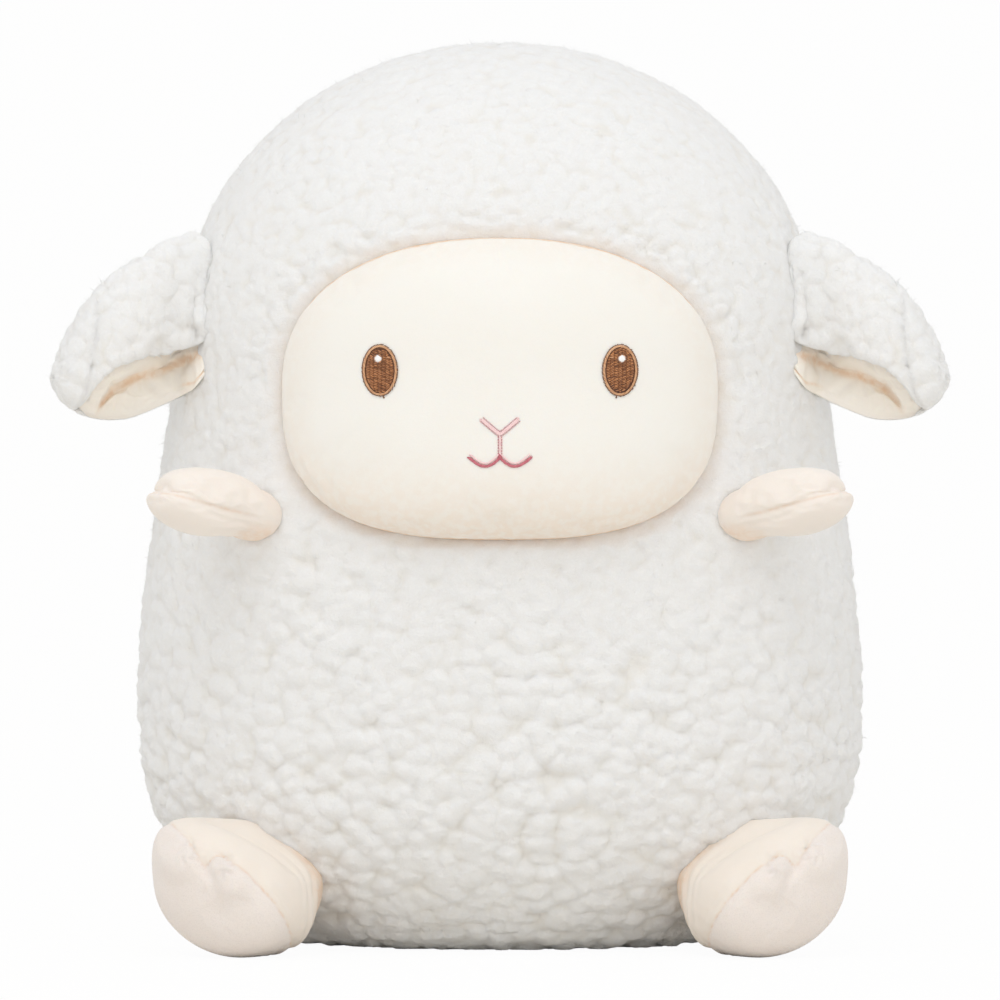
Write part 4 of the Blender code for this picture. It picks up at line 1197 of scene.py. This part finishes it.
class Hoop:
    """The finished face, on which stitches given by (x, z) are laid."""

    def __init__(self, cloth):
        self.tree = BVHTree.FromObject(cloth, bpy.context.evaluated_depsgraph_get())

    def point(self, x, z, lift=0.0):
        spot = self.tree.ray_cast(Vector((x, -1, z)), Vector((0, 1, 0)))[0]
        return Vector((x, spot.y - lift, z))

    def sew(self, name, stitches, look, seed=0, radius=THREAD, arch=0.00022, lift=STITCH_LIFT):
        """Threads for stitches, each from one (x, z) to another."""
        points = [self.point(*end, lift) for stitch in stitches for end in stitch]
        mesh = bpy.data.meshes.new(name)
        mesh.from_pydata(points, [(i, i + 1) for i in range(0, len(points), 2)], [])
        piece = piece_of(name, mesh)
        run_tree(piece, THREADS, Radius=radius, Arch=arch, Seed=seed, Thread=look)
        piece.data.shade_smooth()
        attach(piece, "body")
        return piece

    def patch(self, name, middle, half_width, half_height, look, lift):
        """A plain oval of padding under stitches."""
        points, rows, columns = [], 7, 32
        for i in range(rows):
            share = 1 - i / (rows - 1)
            for j in range(columns):
                turn = 2 * pi * j / columns
                x = middle[0] + half_width * share * cos(turn)
                z = middle[1] + half_height * share * sin(turn)
                points.append(self.point(x, z, lift * (1 - share**4) - 0.0001))
        piece = new_piece(name, points, grid_faces(rows, columns, True))
        outwards(piece.data)
        if piece.data.polygons[0].normal.y > 0:
            piece.data.flip_normals()
        attribute(piece.data, "tone", np.zeros(len(piece.data.vertices)))
        piece.data.materials.append(look)
        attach(piece, "body")
        return piece


def evenly(path, pitch):
    """Points at even steps along a path of (x, z), with the path's direction at each."""
    path = np.asarray(path, float)
    steps = np.linalg.norm(np.diff(path, axis=0), axis=1)
    run = np.concatenate([[0], np.cumsum(steps)])
    places = np.linspace(0, run[-1], max(2, int(run[-1] / pitch) + 1))
    spots = np.stack([np.interp(places, run, path[:, k]) for k in (0, 1)], axis=1)
    ways = np.gradient(spots, axis=0)
    return spots, ways / (np.linalg.norm(ways, axis=1)[:, None] + 1e-12)


def band(path, pitch, reach, offset=0.0, slant=0.0, jitter=0.0, seed=1):
    """Stitches that overlap along a path, each this long, set off to its left and slanting across it."""
    rng = np.random.default_rng(seed)
    spots, ways = evenly(path, pitch)
    stitches = []
    for spot, way in zip(spots, ways):
        left = np.array((-way[1], way[0]))
        middle = spot + left * offset + rng.normal(0, jitter, 2)
        half = way * reach / 2 + left * slant / 2
        stitches.append((middle - half, middle + half))
    return stitches


def oval(middle, half_width, half_height, start=0.0, end=2 * pi, steps=90):
    turns = np.linspace(start, end, steps)
    return np.stack([middle[0] + half_width * np.cos(turns), middle[1] + half_height * np.sin(turns)], axis=1)


def filled(middle, half_width, half_height, columns, pitch, slope, seed):
    """Columns of short stitches that fill an oval."""
    rng = np.random.default_rng(seed)
    wide = 2 * half_width / columns
    stitches = []
    for column in range(columns):
        x0 = -half_width + column * wide
        tilt = slope if column % 2 else 0.6 * slope
        for z in np.arange(-half_height, half_height, pitch):
            z += rng.normal(0, 0.00006)
            ends = [x0 - 0.0001, x0 + wide + 0.0001]
            reach = half_width * np.sqrt(max(0.0, 1 - (z / half_height) ** 2))
            ends = [max(-reach, min(reach, x)) for x in ends]
            if ends[1] - ends[0] < 0.0005:
                continue
            a = (middle[0] + ends[0], middle[1] + z)
            stitches.append((a, (middle[0] + ends[1], middle[1] + z + tilt * (ends[1] - ends[0]))))
    return stitches


def eyes(hoop, brown, dark, tan, white):
    """Each eye: a brown filled oval in a tan satin ring with dark edges, and a white glint."""
    for side_name, side in SIDES.items():
        middle = (side * EYE_SPACING / 2, EYE_LEVEL)
        wide, high = EYE_HALF_WIDTH, EYE_HALF_HEIGHT
        bed = hoop.patch(f"eye_{side_name}_padding", middle, wide, high, dark, 0.0006)
        inner = (wide - EYE_RING * 1.1, high - EYE_RING * 1.1)
        threads = filled(middle, *inner, EYE_COLUMNS, THREAD_PITCH * 1.45, 0.55 * side, 3)
        fill = hoop.sew(f"eye_{side_name}_columns", threads, brown, 5, THREAD * 1.05, 0.0005, 0.0006)
        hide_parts(f"eye_{side_name}_fill")
        ring = (wide - EYE_RING * 0.45, high - EYE_RING * 0.45)
        threads = band(oval(middle, *ring), 0.0004, 0.0024, 0.0, 0.0009, 0.00004)
        satin = hoop.sew(f"eye_{side_name}_ring", threads, tan, 6, THREAD, 0.00025, 0.0005)
        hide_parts(f"eye_{side_name}_outline")
        threads = band(oval(middle, wide + 0.0002, high + 0.0002), 0.00085, 0.0009, 0.0, 0.0003, 0.00008)
        outer_side = (radians(-70), radians(60)) if side > 0 else (radians(120), radians(250))
        outer_edge = oval(middle, wide - 0.0001, high - 0.0001, *outer_side)
        threads += band(outer_edge, 0.0006, 0.0011, 0.0, 0.0002, 0.00009, 5)
        top = oval(middle, *inner, radians(35), radians(150), 40)
        threads += band(top, 0.0007, 0.0009, 0.0, 0.0002, 0.00006)
        tail = (middle[0] - side * 0.0015, middle[1] - high - 0.0002)
        threads += [(tail, (tail[0] - side * 0.0006, tail[1] - 0.0009))]
        threads += [(tail, (tail[0] - side * 0.0001, tail[1] - 0.001))]
        edge = hoop.sew(f"eye_{side_name}_edge", threads, dark, 7, THREAD * 0.95, 0.0002, 0.0003)
        spot = (middle[0] + side * GLINT_OUTWARDS, middle[1] + GLINT_UP)
        threads = band(oval(spot, GLINT_RADIUS + 0.0002, GLINT_RADIUS + 0.0002), 0.0005, 0.0008, 0.0, 0.0)
        rim = hoop.sew(f"eye_{side_name}_glint_rim", threads, dark, 8, THREAD, 0.0001, 0.001)
        glint = hoop.patch(f"eye_{side_name}_glint_dot", spot, GLINT_RADIUS, GLINT_RADIUS, white, 0.0017)
        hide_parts(f"eye_{side_name}_glint")
        dash = (spot[0] - side * 0.0036, spot[1] + 0.0005)
        threads = [(dash, (dash[0] - side * 0.0017, dash[1] + 0.0001))]
        spark = hoop.sew(f"eye_{side_name}_spark", threads, tan, 9, THREAD * 1.2, 0.0003, 0.0011)


def nose_and_mouth(hoop, rose, blush, mauve):
    """A pale V with darker edges, a short line down from it, and a mouth of a rose row under a pale one."""
    turns = np.linspace(-1, 1, 41)
    soft = np.sqrt(turns**2 + 0.012) - 0.05
    nose = np.stack([turns * NOSE_HALF_WIDTH, NOSE_LEVEL + soft * NOSE_RISE], axis=1)
    pale = band(nose, 0.00042, 0.0020, 0.00028, 0.0008)
    pale += band(nose, 0.00042, 0.0020, -0.0003, 0.0008, seed=2)
    piece = hoop.sew("nose_satin", pale, blush, 11)
    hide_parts("nose_stitching")
    edges = band(nose, 0.0008, 0.0010, -0.00105, 0.0, 0.00004)
    edges += band(nose, 0.0008, 0.0010, 0.00105, 0.0, 0.00004)
    piece = hoop.sew("nose_edges", edges, mauve, 12, THREAD * 0.9, 0.0001)
    stem = [(0, NOSE_LEVEL - 0.001), (0, MOUTH_LEVEL - 0.0002)]
    piece = hoop.sew("lip_satin", band(stem, 0.00042, 0.0018, 0.0, 0.0007), blush, 13)
    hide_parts("lip_stitching")
    edges = band(stem, 0.0011, 0.001, 0.0008) + band(stem, 0.0011, 0.001, -0.0008)
    piece = hoop.sew("lip_edges", edges, rose, 14, THREAD * 0.85, 0.0001)
    x = np.linspace(-1, 1, 81)
    dip = np.sin(np.pi * np.abs(x) ** 0.95) * MOUTH_DROP + 0.0003 * np.abs(x)
    mouth = np.stack([x * MOUTH_HALF_WIDTH, MOUTH_LEVEL - dip], axis=1)
    threads = band(mouth, 0.0004, 0.0014, -0.0003, 0.0010, 0.00004)
    threads += band(mouth, 0.0005, 0.0015, -0.0007, 0.0006, 0.00004, 4)
    piece = hoop.sew("mouth_rose_row", threads, rose, 15)
    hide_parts("mouth_stitching")
    knot = [(0, MOUTH_LEVEL + 0.0004), (0, MOUTH_LEVEL - 0.0012)]
    threads = band(knot, 0.0003, 0.0012, 0.0, 0.0012, 0.00005, 6)
    piece = hoop.sew("mouth_knot", threads, rose, 17, THREAD, 0.0003, 0.0004)
    piece = hoop.sew("mouth_pale_row", band(mouth, 0.0004, 0.0018, 0.0009, 0.0006, 0.00004), blush, 16)


# Stage


def studio():
    """A plain pale floor and soft studio light. The camera sees white behind the sheep."""
    scene = bpy.context.scene
    scene.view_settings.view_transform = "Standard"
    world = bpy.data.worlds.new("studio")
    scene.world = world
    world.use_nodes = True
    wires = Wires(world.node_tree)
    background = world.node_tree.nodes["Background"]
    path = world.node_tree.nodes.new("ShaderNodeLightPath").outputs
    seen = wires.math("MAXIMUM", path["Is Camera Ray"], path["Is Transmission Ray"])
    background.inputs["Color"].default_value = (1, 1, 1, 1)
    wires.feed(background.inputs["Strength"], wires.math("MULTIPLY_ADD", seen, 0.15, 0.85))
    floor = new_piece("floor", [(-30, -30, 0), (30, -30, 0), (30, 30, 0), (-30, 30, 0)], [(0, 1, 2, 3)])
    material, wires, shader, _ = new_look("floor_white", Base_Color=(0.86, 0.835, 0.79, 1), Roughness=0.9)
    nodes = material.node_tree.nodes
    glow = wires.add("ShaderNodeEmission", {"Color": (1, 1, 1, 1), "Strength": 1.0})
    path = nodes.new("ShaderNodeLightPath").outputs
    share = wires.times(path["Is Camera Ray"], 0.96)
    both = wires.add("ShaderNodeMixShader", {0: share, 1: shader.outputs[0], 2: glow})
    wires.feed(nodes["Material Output"].inputs["Surface"], both)
    floor.data.materials.append(material)
    lamps = (
        ("key", (-0.4, -1.3, 2.2), 1.6, 11.0),
        ("fill", (0.9, -2.0, 1.0), 1.6, 4.0),
    )
    for name, place, size, power in lamps:
        lamp = bpy.data.lights.new(name, "AREA")
        lamp.size = size
        lamp.energy = power
        stand = bpy.data.objects.new(name, lamp)
        stand.location = place
        aim = Vector((0, 0, AIM_HEIGHT)) - stand.location
        stand.rotation_euler = aim.to_track_quat("-Z", "Y").to_euler()
        scene.collection.objects.link(stand)
    camera = bpy.data.cameras.new("camera")
    camera.sensor_width = 36.0
    camera.lens = camera.sensor_width * CAMERA_DISTANCE / (PIXEL * PICTURE)
    eye = bpy.data.objects.new("camera", camera)
    back = Vector((0, -cos(CAMERA_ELEVATION), sin(CAMERA_ELEVATION)))
    eye.location = Vector((0, 0, AIM_HEIGHT)) + back * CAMERA_DISTANCE
    eye.rotation_euler = (-back).to_track_quat("-Z", "Y").to_euler()
    scene.collection.objects.link(eye)
    scene.camera = eye


studio()
FIBRE_LOOK = fleece_look()
CURLS = curl_tree(FIBRE_LOOK)
STRANDS = strand_tree()
THREADS = thread_tree()
body_fleece()
face = face_cloth()
arms(cloth_look("arm_velour", (0.925, 0.862, 0.80), (0.885, 0.81, 0.74)))
feet(
    cloth_look("foot_velour", (0.91, 0.84, 0.765), (0.87, 0.79, 0.705)),
    cloth_look("sole_velour", (0.925, 0.86, 0.81), (0.87, 0.795, 0.74), 0.0004, 0.22),
)
ears(cloth_look("ear_velour", (1.0, 0.945, 0.865), (0.98, 0.915, 0.83)))
hoop = Hoop(face)
dark_brown = thread_look("dark_brown_thread", (0.24, 0.10, 0.04), (0.14, 0.05, 0.02))
brown = thread_look("brown_thread", (0.72, 0.31, 0.115), (0.29, 0.10, 0.028))
tan = thread_look("tan_thread", (0.80, 0.48, 0.27), (0.50, 0.23, 0.10))
eyes(hoop, brown, dark_brown, tan, thread_look("white_thread", (0.98, 0.98, 0.97), (0.96, 0.96, 0.95)))
rose = thread_look("rose_thread", (0.66, 0.20, 0.24), (0.52, 0.12, 0.16))
blush = thread_look("blush_thread", (0.97, 0.73, 0.72), (0.92, 0.61, 0.62))
mauve = thread_look("mauve_thread", (0.72, 0.45, 0.46), (0.60, 0.34, 0.37))
nose_and_mouth(hoop, rose, blush, mauve)
